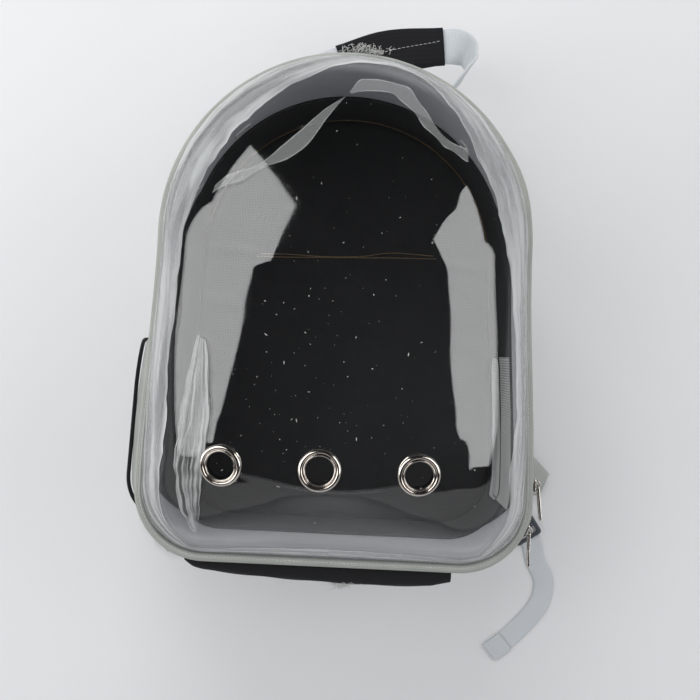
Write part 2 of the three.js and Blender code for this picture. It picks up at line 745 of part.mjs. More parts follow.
// The handle: stations round the arch, with reach along the arch in half spans and rise in handle rises
const HANDLE_PATH = [
  { reach: -1.17, rise: 0.0, turn: 90, drop: 0 },
  { reach: -1.08, rise: 0.004, turn: 90, drop: 0 },
  { reach: -0.98, rise: 0.02, turn: 90, drop: 0 },
  { reach: -0.72, rise: 0.2, turn: 72, drop: 0.06 },
  { reach: -0.42, rise: 0.48, turn: 34, drop: 0.16 },
  { reach: -0.126, rise: 0.71, turn: 8, drop: 0.2 },
  { reach: 0.257, rise: 1.1, turn: 0, drop: 0.22 },
  { reach: 0.651, rise: 1.557, turn: 4, drop: 0.22 },
  { reach: 0.735, rise: 1.66, turn: 24, drop: 0.2 },
  { reach: 0.81, rise: 1.66, turn: 54, drop: 0.17 },
  { reach: 0.868, rise: 1.47, turn: 80, drop: 0.12 },
  { reach: 0.874, rise: 1.15, turn: 90, drop: 0.06 },
  { reach: 0.86, rise: 0.72, turn: 90, drop: 0.02 },
  { reach: 0.85, rise: 0.28, turn: 90, drop: 0 },
  { reach: 0.95, rise: 0.06, turn: 90, drop: 0 },
  { reach: 1.05, rise: 0.01, turn: 90, drop: 0 },
  { reach: 1.16, rise: 0.004, turn: 90, drop: 0 },
];
const WRAP_FROM = 5;
const WRAP_TO = 7;

// A station on the arch: its angle follows the reach along the wall
function handleStation({ reach, rise, turn, drop }, width, thickness) {
  const wall = ARCH_RADIUS - GUSSET_INSET + 2 * GAP + HANDLE_WEBBING_THICKNESS / 2;
  const angle = Math.asin((HANDLE_SPAN / 2 / wall) * Math.min(Math.abs(reach), 1.3)) * Math.sign(reach);
  const radius = wall + HANDLE_RISE * rise;
  return {
    x: radius * Math.sin(angle),
    y: ARCH_Y + radius * Math.cos(angle),
    z: HANDLE_LEVEL * (1 - drop),
    turn,
    width,
    thickness,
  };
}

function handleWebbing() {
  const stations = HANDLE_PATH.map((s) =>
    handleStation(s, HANDLE_WEBBING_WIDTH, HANDLE_WEBBING_THICKNESS));
  return strap(stations, 52);
}

function handleWrap() {
  const grip = HANDLE_PATH.slice(WRAP_FROM, WRAP_TO + 1);
  const sleeve = strap(grip.map((s) => handleStation(s, WRAP_WIDTH, WRAP_THICKNESS)), 8, WRAP_CHAMFER);
  const size = [HANDLE_WEBBING_WIDTH + 2 * GAP, HANDLE_WEBBING_THICKNESS + 2 * GAP];
  const run = strap(HANDLE_PATH.map((s) => handleStation(s, ...size)), 52);
  return subtract(sleeve, run);
}

// A shoulder pad on the resting surface, from the top of the back down and outwards
const SHOULDER_PATH = [
  { along: 0, out: 0.5, width: 0.9 },
  { along: 0.25, out: 0.66, width: 1 },
  { along: 0.5, out: 0.84, width: 1 },
  { along: 0.75, out: 0.96, width: 0.96 },
  { along: 0.94, out: 1, width: 0.8 },
  { along: 1, out: 1, width: 0.6 },
];

function shoulderPad(side) {
  const stations = SHOULDER_PATH.map(({ along, out, width }) => ({
    x: side * STRAP_SPREAD * out,
    y: STRAP_TOP - STRAP_PAD_LENGTH * along,
    z: BACK_PAD_THICKNESS / 2,
    turn: 0,
    width: STRAP_PAD_WIDTH * width,
    thickness: BACK_PAD_THICKNESS,
  }));
  return strap(stations, 12, STRAP_PAD_CHAMFER);
}

// Straps at each lower corner: where the tab's tip and the buckle lie, and how the free tail runs from the buckle.
// Across and down are in half rim widths and half rim heights, from the pack's middle.
const CORNERS = {
  right: {
    side: 1,
    seam: { across: 0.985, down: 0.66 },
    tip: { across: 1.31, down: 0.76 },
    buckle: { across: 1.2, down: 0.985 },
    heading: 56,
    tail: [
      { across: 1.2834, down: 1.13 },
      { across: 1.345, down: 1.235 },
      { across: 1.325, down: 1.34 },
      { across: 1.19, down: 1.48 },
      { across: 1.02, down: 1.6 },
    ],
  },
  left: {
    side: -1,
    seam: { across: 0.8, down: 0.875 },
    tip: { across: 1.09, down: 1.135 },
    buckle: { across: 0.86, down: 0.75 },
    heading: 95,
    tail: [
      { across: 0.8, down: 0.885 },
      { across: 0.68, down: 0.925 },
      { across: 0.5, down: 0.92 },
      { across: 0.2, down: 0.88 },
    ],
  },
};

const cornerPoint = (corner, { across, down }) =>
  new THREE.Vector2((corner.side * across * RIM_WIDTH) / 2, (-down * RIM_HEIGHT) / 2);

// The buckle's long way, which the webbing and the tail follow
function buckleHeading(corner) {
  const a = radians(corner.heading);
  return new THREE.Vector2(corner.side * Math.cos(a), -Math.sin(a));
}

const STRAP_FLAT = { turn: 0, width: STRAP_WEBBING_WIDTH, thickness: STRAP_WEBBING_THICKNESS };
const STRAP_LEVEL = STRAP_WEBBING_THICKNESS / 2;

function shoulderWebbing(corner) {
  const end = cornerPoint(corner, corner.buckle)
    .addScaledVector(buckleHeading(corner), -BUCKLE_LENGTH / 2 - GAP);
  const start = new THREE.Vector2(corner.side * STRAP_SPREAD, STRAP_TOP - STRAP_PAD_LENGTH - GAP);
  const near = end.clone().addScaledVector(buckleHeading(corner), -BUCKLE_LENGTH / 3);
  const stations = [
    { ...STRAP_FLAT, x: start.x, y: start.y, z: STRAP_LEVEL },
    { ...STRAP_FLAT, x: start.x, y: start.y - BUCKLE_LENGTH / 3, z: STRAP_LEVEL },
    { ...STRAP_FLAT, x: mix(start.x, near.x, 0.35), y: mix(start.y, near.y, 0.5), z: STRAP_LEVEL },
    { ...STRAP_FLAT, x: near.x, y: near.y, z: STRAP_LEVEL },
    { ...STRAP_FLAT, x: end.x, y: end.y, z: STRAP_LEVEL },
  ];
  return strap(stations, 9);
}

// A ladder-lock buckle: a frame with two slots, lying on the surface
function buckle(corner) {
  const frame = new THREE.Shape(roundedRectangle(BUCKLE_LENGTH, BUCKLE_WIDTH, 3.5, 3));
  for (const place of [-1, 1]) {
    const slot = roundedRectangle(BUCKLE_LENGTH * 0.24, STRAP_WEBBING_WIDTH + 1, 1.2, 2);
    frame.holes.push(new THREE.Path(slot.map((p) =>
      new THREE.Vector2(p.x + place * BUCKLE_LENGTH * 0.2, p.y))));
  }
  const heading = buckleHeading(corner);
  const place = cornerPoint(corner, corner.buckle);
  return new THREE.ExtrudeGeometry(frame, { depth: BUCKLE_THICKNESS, bevelEnabled: false })
    .rotateZ(heading.angle())
    .translate(place.x, place.y, 0);
}

function strapTail(corner) {
  const start = cornerPoint(corner, corner.buckle)
    .addScaledVector(buckleHeading(corner), BUCKLE_LENGTH / 2 + GAP);
  const stations = corner.tail.map((s) => {
    const p = cornerPoint(corner, s);
    return { ...STRAP_FLAT, x: p.x, y: p.y, z: STRAP_LEVEL };
  });
  const near = start.clone().addScaledVector(buckleHeading(corner), BUCKLE_LENGTH / 5);
  const first = [start, near].map(({ x, y }) => ({ ...STRAP_FLAT, x, y, z: STRAP_LEVEL }));
  return strap([...first, ...stations], 22);
}

// The fabric tab sewn into the back seam at the lower corner: wide at the seam, narrow at its tip
function anchorTab(corner) {
  const seam = cornerPoint(corner, corner.seam);
  const tip = cornerPoint(corner, corner.tip);
  const rows = [
    { share: 0, width: 1, level: 1 },
    { share: 0.3, width: 0.9, level: 0.92 },
    { share: 0.65, width: 0.62, level: 0.8 },
    { share: 1, width: 0.36, level: 0.68 },
  ];
  const wide = CORNER_RADIUS * 1.15;
  const stations = rows.map(({ share, width, level }) => ({
    x: mix(seam.x, tip.x, share),
    y: mix(seam.y, tip.y, share),
    z: (BACK_PAD_THICKNESS - TAB_THICKNESS / 2) * level,
    turn: 0,
    width: wide * width,
    thickness: TAB_THICKNESS,
  }));
  return strap(stations, 6);
}

function backPad() {
  const shape = new THREE.Shape(
    roundedRectangle(BACK_PAD_WIDTH, BACK_PAD_LENGTH, BACK_PAD_CORNER, 5),
  );
  return new THREE.ExtrudeGeometry(shape, { depth: BACK_PAD_THICKNESS, bevelEnabled: false })
    .translate(0, BACK_PAD_TOP - BACK_PAD_LENGTH / 2, 0);
}

// Materials
const finish = (color, roughness, metalness = 0) =>
  new THREE.MeshStandardMaterial({ color, roughness, metalness });
const greyFabric = finish(0xb4b7b2, 0.9);
const blackFabric = finish(0x1c1d1f, 0.92);
const padFabric = finish(0x4a4c4f, 0.95);
const webbing = finish(0xc3c8cb, 0.85);
const netting = finish(0xc9c9c6, 0.9);
const zipTape = finish(0x9da098, 0.9);
const zipTeeth = finish(0x8d9088, 0.55);
const metal = finish(0xc9c2b6, 0.25, 1);
const plastic = finish(0x3a3c3f, 0.5);
const clear = new THREE.MeshStandardMaterial({
  color: 0xf4f7f8, roughness: 0.05, transparent: true, opacity: 0.25,
});

const pack = new THREE.Group();

function add(name, geometry, material, parent = pack) {
  const mesh = new THREE.Mesh(geometry, material);
  mesh.name = name;
  parent.add(mesh);
  return mesh;
}

function addBody() {
  add("back_pad", backPad(), padFabric);
  add("back_board", plate(GUSSET_INSET, BOARD_Z, INSIDE_Z - GAP), greyFabric);
  add("back_lining", plate(LINING_INSET, INSIDE_Z, INSIDE_Z + LINING_THICKNESS), blackFabric);
  add("side_gusset", sideGusset(), greyFabric);
  add("rear_lining", rearLining(), blackFabric);
  add("window_mesh", windowMesh(), netting);
  add("left_pocket", leftPocket(), greyFabric);
  add("left_pocket_piping", pocketPiping(), blackFabric);
  add("side_net", sideNet(), netting);
  add("side_net_binding", netBinding(), blackFabric);
}

function addCover() {
  const holes = grommetPlaces().map((place) =>
    seated(new THREE.CylinderGeometry(GROMMET_HOLE + GROMMET_BARREL + GAP,
      GROMMET_HOLE + GROMMET_BARREL + GAP, 3 * GROMMET_HOLE, 24).rotateX(Math.PI / 2), place));
  add("bubble_shell", subtract(bubbleShell(), ...holes), clear);
  grommetPlaces().forEach((place, i) => {
    add(`grommet_${["left", "middle", "right"][i]}`, seated(grommet(place), place), metal);
  });
  add("cover_rim", coverRim(), greyFabric);
}

function addZipper() {
  add("zipper_tape", zipperTape(), zipTape);
  add("zipper_teeth", zipperTeeth(), zipTeeth);
  add("hinge_strip", hingeStrip(), blackFabric);
  add("hinge_end_tab", hingeEndTab(), blackFabric);
  for (const slider of SLIDERS) {
    const { position, turn } = sliderPlace(slider);
    const mount = new THREE.Group();
    mount.position.set(...position);
    mount.rotation.z = turn;
    pack.add(mount);
    add(`slider_${slider.name}`, sliderBody(), metal, mount);
    const pull = add(`pull_${slider.name}`, pullPlate(), metal, mount);
    pull.position.x = PIVOT_RISE;
    pull.rotation.z = radians(slider.tilt);
  }
}

function addStraps() {
  add("handle_webbing", handleWebbing(), webbing);
  add("handle_wrap", handleWrap(), blackFabric);
  for (const [name, corner] of Object.entries(CORNERS)) {
    add(`shoulder_pad_${name}`, shoulderPad(corner.side), padFabric);
    add(`shoulder_webbing_${name}`, shoulderWebbing(corner), webbing);
    add(`strap_buckle_${name}`, buckle(corner), plastic);
    add(`strap_tail_${name}`, strapTail(corner), webbing);
    add(`anchor_tab_${name}`, anchorTab(corner), greyFabric);
  }
}

addBody();
addCover();
addZipper();
addStraps();

export default pack;
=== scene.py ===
"""Looks of the bubble pet carrier backpack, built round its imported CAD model.

Lengths in the shape code are in millimetres."""

import json
import math
import random

import bmesh
import bpy
import numpy as np
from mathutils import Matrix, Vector

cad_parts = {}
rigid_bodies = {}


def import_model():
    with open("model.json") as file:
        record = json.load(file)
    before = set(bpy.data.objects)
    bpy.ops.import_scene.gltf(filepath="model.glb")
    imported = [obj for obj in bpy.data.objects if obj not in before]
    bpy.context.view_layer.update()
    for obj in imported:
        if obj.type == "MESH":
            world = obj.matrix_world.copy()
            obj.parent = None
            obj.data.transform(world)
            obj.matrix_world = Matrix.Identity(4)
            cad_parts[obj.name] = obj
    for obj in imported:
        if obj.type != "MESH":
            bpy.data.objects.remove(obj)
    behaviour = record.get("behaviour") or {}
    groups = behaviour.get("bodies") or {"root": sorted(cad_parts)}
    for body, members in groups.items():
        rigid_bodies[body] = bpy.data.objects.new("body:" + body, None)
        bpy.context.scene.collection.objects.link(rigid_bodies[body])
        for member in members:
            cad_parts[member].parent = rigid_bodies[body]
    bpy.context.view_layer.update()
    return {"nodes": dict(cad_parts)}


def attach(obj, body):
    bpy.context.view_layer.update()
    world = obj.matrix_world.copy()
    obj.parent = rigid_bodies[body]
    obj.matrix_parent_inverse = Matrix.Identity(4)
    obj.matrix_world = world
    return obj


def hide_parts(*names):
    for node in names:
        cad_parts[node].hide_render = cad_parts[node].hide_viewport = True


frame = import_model()
scene = bpy.context.scene
MM = 0.001
PACK = "pack"

# Plan outline of the rim, the same as the CAD's
RIM_W, RIM_H, ARCH_R, CORNER_R = 319.0, 412.0, 150.0, 58.0
ARCH_Y = RIM_H / 2 - ARCH_R
BASE_Y = -RIM_H / 2
RUNS = (RIM_W / 2 - CORNER_R, math.pi / 2 * CORNER_R, ARCH_Y - BASE_Y - CORNER_R, math.pi / 2 * ARCH_R)
HALF = sum(RUNS)
ROUND = 2 * HALF

INSIDE_Z, GUSSET_TOP, RIM_Z, RIM_TOP = 17.3, 205.3, 205.6, 215.6
BUBBLE_Z, BUBBLE_H, BUBBLE_INSET = 206.6, 85.0, 6.3
TEETH_Z = 194.8
BUBBLE_PROFILE = np.array([
    # rise, then how far in from the rim: side, top, base
    [0.0, 0.0, 0.0, 0.0],
    [0.06, 0.0, 0.0, 0.0],
    [0.24, 0.006, 0.005, 0.07],
    [0.42, 0.032, 0.026, 0.127],
    [0.6, 0.092, 0.074, 0.19],
    [0.76, 0.192, 0.156, 0.25],
    [0.88, 0.328, 0.272, 0.293],
    [0.93, 0.426, 0.358, 0.315],
    [0.97, 0.555, 0.477, 0.345],
    [0.993, 0.717, 0.635, 0.58],
    [0.998, 0.811, 0.757, 0.72],
    [0.9997, 0.906, 0.878, 0.86],
    [1.0, 1.0, 1.0, 1.0],
])


# Shape helpers
def rim(u, inset=0.0):
    """Plan points of the outline at shares u of its length, anticlockwise from the middle of the base."""
    u = np.asarray(u, float) % 1.0
    left = u > 0.5
    s = np.where(left, 1 - u, u) * ROUND
    inset = np.asarray(inset, float)
    corner, side, arch = CORNER_R - inset, RIM_W / 2 - inset, ARCH_R - inset
    a = (s - RUNS[0]) / CORNER_R - math.pi / 2
    t = np.clip((s - RUNS[0] - RUNS[1]) / RUNS[2], 0, 1)
    b = (s - HALF + RUNS[3]) / ARCH_R
    on = [s < RUNS[0], s < RUNS[0] + RUNS[1], s < HALF - RUNS[3]]
    x = np.select(
        on, [s, RUNS[0] + corner * np.cos(a), side + (arch - side) * t * t * (3 - 2 * t)],
        arch * np.cos(b)
    )
    y = np.select(
        on,
        [BASE_Y + inset, BASE_Y + CORNER_R + corner * np.sin(a), BASE_Y + CORNER_R + RUNS[2] * t],
        ARCH_Y + arch * np.sin(b),
    )
    return np.stack([np.where(left, -x, x), y], -1)


FINE = np.linspace(0, 0.5, 4001)


def u_at_y(y):
    """Share of the right-hand outline at a height y of the pack."""
    return float(np.interp(y, rim(FINE)[:, 1], FINE))


def u_at_x(x):
    """Share along the base at x."""
    return float(np.interp(abs(x), rim(FINE)[:1200, 0], FINE[:1200])) * (1 if x >= 0 else -1)


def wall_x(y, inset):
    return float(rim(u_at_y(y), inset)[0])


def spline(rows, t):
    """Smooth values between equally spaced rows at t from 0 to 1."""
    rows = np.asarray(rows, float)
    t = np.clip(np.asarray(t, float), 0, 1) * (len(rows) - 1)
    i = np.minimum(t.astype(int), len(rows) - 2)
    f = (t - i)[..., None]
    p = [rows[np.clip(i + k, 0, len(rows) - 1)] for k in (-1, 0, 1, 2)]
    return p[1] + 0.5 * f * (
        p[2] - p[0] + f * (2 * p[0] - 5 * p[1] + 4 * p[2] - p[3] + f * (3 * (p[1] - p[2]) + p[3] - p[0]))
    )


def catmull(points, t):
    """Centripetal Catmull-Rom point at t, the same curve as the CAD's straps."""
    n = len(points)
    p = (n - 1) * t
    i = min(int(p), n - 2)
    w = p - i
    p1, p2 = points[i], points[i + 1]
    p0 = points[i - 1] if i > 0 else 2 * p1 - p2
    p3 = points[i + 2] if i + 2 < n else 2 * p2 - p1
    d0, d1, d2 = (max(np.linalg.norm(b - a), 1e-6) ** 0.5 for a, b in ((p0, p1), (p1, p2), (p2, p3)))
    m1 = ((p1 - p0) / d0 - (p2 - p0) / (d0 + d1) + (p2 - p1) / d1) * d1
    m2 = ((p2 - p1) / d1 - (p3 - p1) / (d1 + d2) + (p3 - p2) / d2) * d1
    return p1 + w * (m1 + w * (-3 * p1 + 3 * p2 - 2 * m1 - m2 + w * (2 * p1 - 2 * p2 + m1 + m2)))


def strap_frames(stations, steps):
    """Centre, width way, thickness way and the station's other values along a strap, as the CAD lays it."""
    points = [np.array(s[:3], float) for s in stations]
    others = np.array([s[3:] for s in stations], float)
    frames = []
    for k in range(steps + 1):
        t = k / steps
        centre = catmull(points, t)
        along = catmull(points, min(t + 1e-4, 1)) - catmull(points, max(t - 1e-4, 0))
        along /= np.linalg.norm(along)
        flat = np.cross([0, 0, 1], along)
        flat /= np.linalg.norm(flat)
        stand = np.cross(along, flat)
        place = t * (len(stations) - 1)
        i = min(int(place), len(stations) - 2)
        values = others[i] + (others[i + 1] - others[i]) * (place - i)
        turn = math.radians(values[0])
        wide = flat * math.cos(turn) + stand * math.sin(turn)
        frames.append((centre, wide, np.cross(along, wide), values[1:]))
    return frames


def make(name, verts, faces, material, body=PACK, smooth=True, uvs=None, mm=True):
    """A mesh piece from vertices in millimetres. uvs are one pair a vertex, in millimetres of cloth."""
    verts = np.asarray(verts, float).reshape(-1, 3) * (MM if mm else 1)
    mesh = bpy.data.meshes.new(name)
    mesh.from_pydata(verts.tolist(), [], faces)
    if uvs is not None:
        layer = mesh.uv_layers.new(name="cloth")
        uvs = np.asarray(uvs, float).reshape(-1, 2) * MM
        index = np.empty(len(mesh.loops), int)
        mesh.loops.foreach_get("vertex_index", index)
        layer.data.foreach_set("uv", uvs[index].ravel())
    mesh.materials.append(material)
    if smooth:
        mesh.polygons.foreach_set("use_smooth", [True] * len(mesh.polygons))
    mesh.update()
    obj = bpy.data.objects.new(name, mesh)
    scene.collection.objects.link(obj)
    if body:
        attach(obj, body)
    return obj


def grid_faces(rows, columns, loop_rows=False, loop_columns=False, start=0):
    faces = []
    for i in range(rows if loop_rows else rows - 1):
        for j in range(columns if loop_columns else columns - 1):
            a, b = start + i * columns + j, start + i * columns + (j + 1) % columns
            k = (i + 1) % rows
            faces.append((a, b, start + k * columns + (j + 1) % columns, start + k * columns + j))
    return faces


def caps(rows, columns, start=0):
    """The two end faces of a tube of so many rows and columns."""
    last = start + (rows - 1) * columns
    return [tuple(range(start, start + columns))[::-1], tuple(range(last, last + columns))]


def stepped(points, step):
    """A closed path's points with more between them, at most step apart."""
    dense = []
    for a, b in zip(points, points[1:] + points[:1]):
        a, b = np.array(a), np.array(b)
        steps = max(int(np.linalg.norm(b - a) / step), 1)
        dense += [a + (b - a) * k / steps for k in range(steps)]
    return dense


def outward(obj):
    bm = bmesh.new()
    bm.from_mesh(obj.data)
    bmesh.ops.recalc_face_normals(bm, faces=bm.faces)
    bm.to_mesh(obj.data)
    bm.free()
    return obj


def apply(obj, kind, **settings):
    """Adds a modifier and applies it at once."""
    modifier = obj.modifiers.new(kind.lower(), kind)
    for key, value in settings.items():
        setattr(modifier, key, value)
    with bpy.context.temp_override(object=obj, active_object=obj, selected_objects=[obj]):
        bpy.ops.object.modifier_apply(modifier=modifier.name)
    return obj


def cut(obj, tools):
    """Takes the tools' shapes out of obj, and removes the tools."""
    for tool in tools:
        apply(obj, "BOOLEAN", operation="DIFFERENCE", solver="EXACT", object=tool)
        bpy.data.objects.remove(tool)
    return obj


def tool_prism(points, axis, low, high):
    """A closed prism used only to cut: plan points run through an axis from low to high."""
    order = {"x": (2, 0, 1), "z": (0, 1, 2)}[axis]
    n = len(points)
    verts = []
    for level in (low, high):
        for a, b in points:
            raw = [0, 0, 0]
            trio = (a, b, level)
            for place, source in enumerate(order):
                raw[place] = trio[source]
            verts.append(raw)
    faces = [tuple(range(n))[::-1], tuple(range(n, 2 * n))] + [
        (i, (i + 1) % n, n + (i + 1) % n, n + i) for i in range(n)
    ]
    return outward(make("cutter", verts, faces, bpy.data.materials["Blank"], body=None, smooth=False))


def rounded_rectangle(width, height, radius, steps, centre=(0, 0)):
    points = []
    for c, (sx, sy) in enumerate(((1, -1), (1, 1), (-1, 1), (-1, -1))):
        for i in range(steps + 1):
            a = math.radians(-90 + 90 * (c + i / steps))
            points.append((
                centre[0] + sx * (width / 2 - radius) + radius * math.cos(a),
                centre[1] + sy * (height / 2 - radius) + radius * math.sin(a),
            ))
    return points


def ring_piece(name, section, material, steps=360, span=(0, 1), **options):
    """A piece that follows the outline. section(u) gives its corners as (inset, z), in a closed round."""
    whole = span == (0, 1)
    count = steps if whole else steps + 1
    us = span[0] + (span[1] - span[0]) * np.arange(count) / steps
    verts, uvs = [], []
    for u in us:
        corners = np.array(section(u), float)
        plan = rim(np.full(len(corners), u), corners[:, 0])
        verts.extend(np.column_stack([plan, corners[:, 1]]))
        run = np.concatenate([[0], np.cumsum(np.hypot(*np.diff(corners, axis=0).T))])
        uvs.extend(np.column_stack([np.full(len(corners), u * ROUND), run]))
    m = len(verts) // count
    faces = grid_faces(count, m, loop_rows=whole, loop_columns=True)
    if not whole:
        faces += caps(count, m)
    return outward(make(name, verts, faces, material, uvs=uvs, **options))


def ribbon(name, stations, steps, material, crown=0.0, wobble=None, **options):
    """A strap with softly rounded edges along CAD stations (x, y, z, turn, width, thickness)."""
    verts, uvs = [], []
    length, last = 0.0, None
    for k, (centre, wide, thick, (w, h)) in enumerate(strap_frames(stations, steps)):
        if wobble is not None:
            centre = centre + wobble(k / steps)
        length += 0 if last is None else float(np.linalg.norm(centre - last))
        last = centre
        w, h = w / 2, h / 2
        e = min(h, 0.8)
        top = [(-w, 0), (-w + 0.25 * e, 0.7 * h), (-w + e, h)] + [
            (-w + e + (2 * w - 2 * e) * i / 6, h + crown * math.sin(math.pi * i / 6)) for i in range(1, 6)
        ] + [(w - e, h), (w - 0.25 * e, 0.7 * h), (w, 0)]
        section = top + [(a, -b) for a, b in top[-2:0:-1]]
        for a, b in section:
            verts.append(centre + wide * a + thick * b)
            uvs.append((length, a))
    m = len(verts) // (steps + 1)
    faces = grid_faces(steps + 1, m, loop_columns=True)
    faces += caps(steps + 1, m)
    return outward(make(name, verts, faces, material, uvs=uvs, **options))


def thread(name, runs, radius, material, sides=5, body=PACK):
    """Short threads: each run is a list of points in millimetres, made into one thin tube."""
    verts, faces = [], []
    for points in runs:
        points = np.asarray(points, float)
        start = len(verts)
        for i, p in enumerate(points):
            along = points[min(i + 1, len(points) - 1)] - points[max(i - 1, 0)]
            along = along / (np.linalg.norm(along) + 1e-9)
            side = np.cross(along, [0.3, 0.2, 1.0])
            side /= np.linalg.norm(side) + 1e-9
            other = np.cross(along, side)
            for k in range(sides):
                a = 2 * math.pi * k / sides
                verts.append(p + radius * (side * math.cos(a) + other * math.sin(a)))
        faces += grid_faces(len(points), sides, loop_columns=True, start=start)
        faces += caps(len(points), sides, start)
    return make(name, verts, faces, material, body=body)


def stitches(name, points, length, gap, radius, material, lift=(0, 0, 0), body=PACK):
    """A row of stitches along a path of points in millimetres."""
    points = np.asarray(points, float)
    run = np.concatenate([[0], np.cumsum(np.linalg.norm(np.diff(points, axis=0), axis=1))])

    def at(s):
        return np.array([np.interp(s, run, points[:, k]) for k in range(3)])

    rows = []
    lift = np.asarray(lift, float)
    for k in range(int(run[-1] / (length + gap))):
        s = k * (length + gap)
        rows.append([at(s), at(s + 0.3 * length) + lift, at(s + 0.7 * length) + lift, at(s + length)])
    return thread(name, rows, radius, material, sides=4, body=body)


# Materials
def tree(name):
    material = bpy.data.materials.new(name)
    material.use_nodes = True
    nodes, links = material.node_tree.nodes, material.node_tree.links
    return material, nodes, links, nodes["Principled BSDF"]


def ramp(nodes, links, source, stops):
    node = nodes.new("ShaderNodeValToRGB")
    while len(node.color_ramp.elements) < len(stops):
        node.color_ramp.elements.new(0.5)
    for element, (place, colour) in zip(node.color_ramp.elements, stops):
        element.position = place
        element.color = (*colour, 1) if len(colour) == 3 else colour
    links.new(source, node.inputs["Fac"])
    return node


def object_noise(nodes, links, scale, detail=2):
    """A noise over the object's own coordinates; scale is per metre."""
    coordinates = nodes.new("ShaderNodeTexCoord")
    noise = nodes.new("ShaderNodeTexNoise")
    noise.inputs["Scale"].default_value = scale
    noise.inputs["Detail"].default_value = detail
    links.new(coordinates.outputs["Object"], noise.inputs["Vector"])
    return noise


def add_bump(nodes, links, bsdf, height, strength, distance):
    bump = nodes.new("ShaderNodeBump")
    bump.inputs["Strength"].default_value = strength
    bump.inputs["Distance"].default_value = distance
    links.new(height, bump.inputs["Height"])
    links.new(bump.outputs["Normal"], bsdf.inputs["Normal"])


def add_tint(nodes, links, bsdf, noise, stops):
    tint = ramp(nodes, links, noise.outputs["Fac"], stops)
    links.new(tint.outputs["Color"], bsdf.inputs["Base Color"])


def shade(colour, factor):
    return tuple(min(c * factor, 1.0) for c in colour)


def cloth_coordinates(nodes, links, use_uv, scale):
    source = nodes.new("ShaderNodeUVMap") if use_uv else nodes.new("ShaderNodeTexCoord")
    if use_uv:
        source.uv_map = "cloth"
    mapping = nodes.new("ShaderNodeMapping")
    mapping.inputs["Scale"].default_value = scale
    links.new(source.outputs["UV"] if use_uv else source.outputs["Object"], mapping.inputs["Vector"])
    return mapping.outputs["Vector"]


def fabric(
    name, colour, pitch=0.9, depth=0.25, roughness=0.9, variation=0.12, use_uv=True, rib=1.0, sheen=0.15,
    gap=0.28
):
    """Woven cloth: two crossed rows of threads, uneven colour and a soft sheen. pitch is in millimetres."""
    material, nodes, links, bsdf = tree(name)
    per = 1000 / pitch / 6.2832 * 2
    scale = (per, per * rib, per)
    vector = cloth_coordinates(nodes, links, use_uv, scale)
    waves = []
    for direction in ("X", "Y"):
        wave = nodes.new("ShaderNodeTexWave")
        wave.bands_direction = direction
        wave.inputs["Scale"].default_value = 0.5
        wave.inputs["Distortion"].default_value = 0.35
        wave.inputs["Detail"].default_value = 1.0
        links.new(vector, wave.inputs["Vector"])
        waves.append(wave)
    weave = nodes.new("ShaderNodeMath")
    weave.operation = "MULTIPLY"
    links.new(waves[0].outputs["Fac"], weave.inputs[0])
    links.new(waves[1].outputs["Fac"], weave.inputs[1])
    noise = object_noise(nodes, links, 28, 6)
    tint = ramp(
        nodes, links, noise.outputs["Fac"],
        [(0.25, shade(colour, 1 - variation)), (0.75, shade(colour, 1 + variation / 2))]
    )
    mix = nodes.new("ShaderNodeMix")
    mix.data_type = "RGBA"
    mix.blend_type = "MULTIPLY"
    mix.inputs["Factor"].default_value = 1.0
    threads = ramp(nodes, links, weave.outputs["Value"], [(0.0, (1 - gap,) * 3), (0.6, (1.0, 1.0, 1.0))])
    links.new(tint.outputs["Color"], mix.inputs[6])
    links.new(threads.outputs["Color"], mix.inputs[7])
    links.new(mix.outputs[2], bsdf.inputs["Base Color"])
    add_bump(nodes, links, bsdf, weave.outputs["Value"], depth, 0.0004)
    bsdf.inputs["Roughness"].default_value = roughness
    bsdf.inputs["Sheen Weight"].default_value = sheen
    bsdf.inputs["Sheen Roughness"].default_value = 0.5
    bsdf.inputs["Specular IOR Level"].default_value = 0.25
    return material


def netting(name, colour, pitch, hole, diamond=False, use_uv=True, soft=0.04):
    """Open mesh cloth: round or diamond holes let what is behind show. pitch and hole are in millimetres."""
    material, nodes, links, bsdf = tree(name)
    per = 1000 / pitch
    vector = cloth_coordinates(nodes, links, use_uv, (per, per, per))
    if diamond:
        vector_node = nodes.new("ShaderNodeMapping")
        vector_node.inputs["Rotation"].default_value = (0, 0, math.radians(45))
        links.new(vector, vector_node.inputs["Vector"])
        vector = vector_node.outputs["Vector"]
    cells = nodes.new("ShaderNodeTexVoronoi")
    cells.voronoi_dimensions = "2D"
    cells.distance = "CHEBYCHEV" if diamond else "EUCLIDEAN"
    cells.inputs["Scale"].default_value = 1.0
    cells.inputs["Randomness"].default_value = 0.12
    links.new(vector, cells.inputs["Vector"])
    edge = hole / pitch / 2
    solid = ramp(
        nodes, links, cells.outputs["Distance"],
        [(max(edge - soft, 0), (0, 0, 0)), (edge + soft, (1, 1, 1))]
    )
    links.new(solid.outputs["Color"], bsdf.inputs["Alpha"])
    noise = object_noise(nodes, links, 60)
    add_tint(nodes, links, bsdf, noise, [(0.3, shade(colour, 0.88)), (0.7, colour)])
    add_bump(nodes, links, bsdf, cells.outputs["Distance"], 0.5, 0.0004)
    bsdf.inputs["Roughness"].default_value = 0.85
    bsdf.inputs["Sheen Weight"].default_value = 0.1
    return material


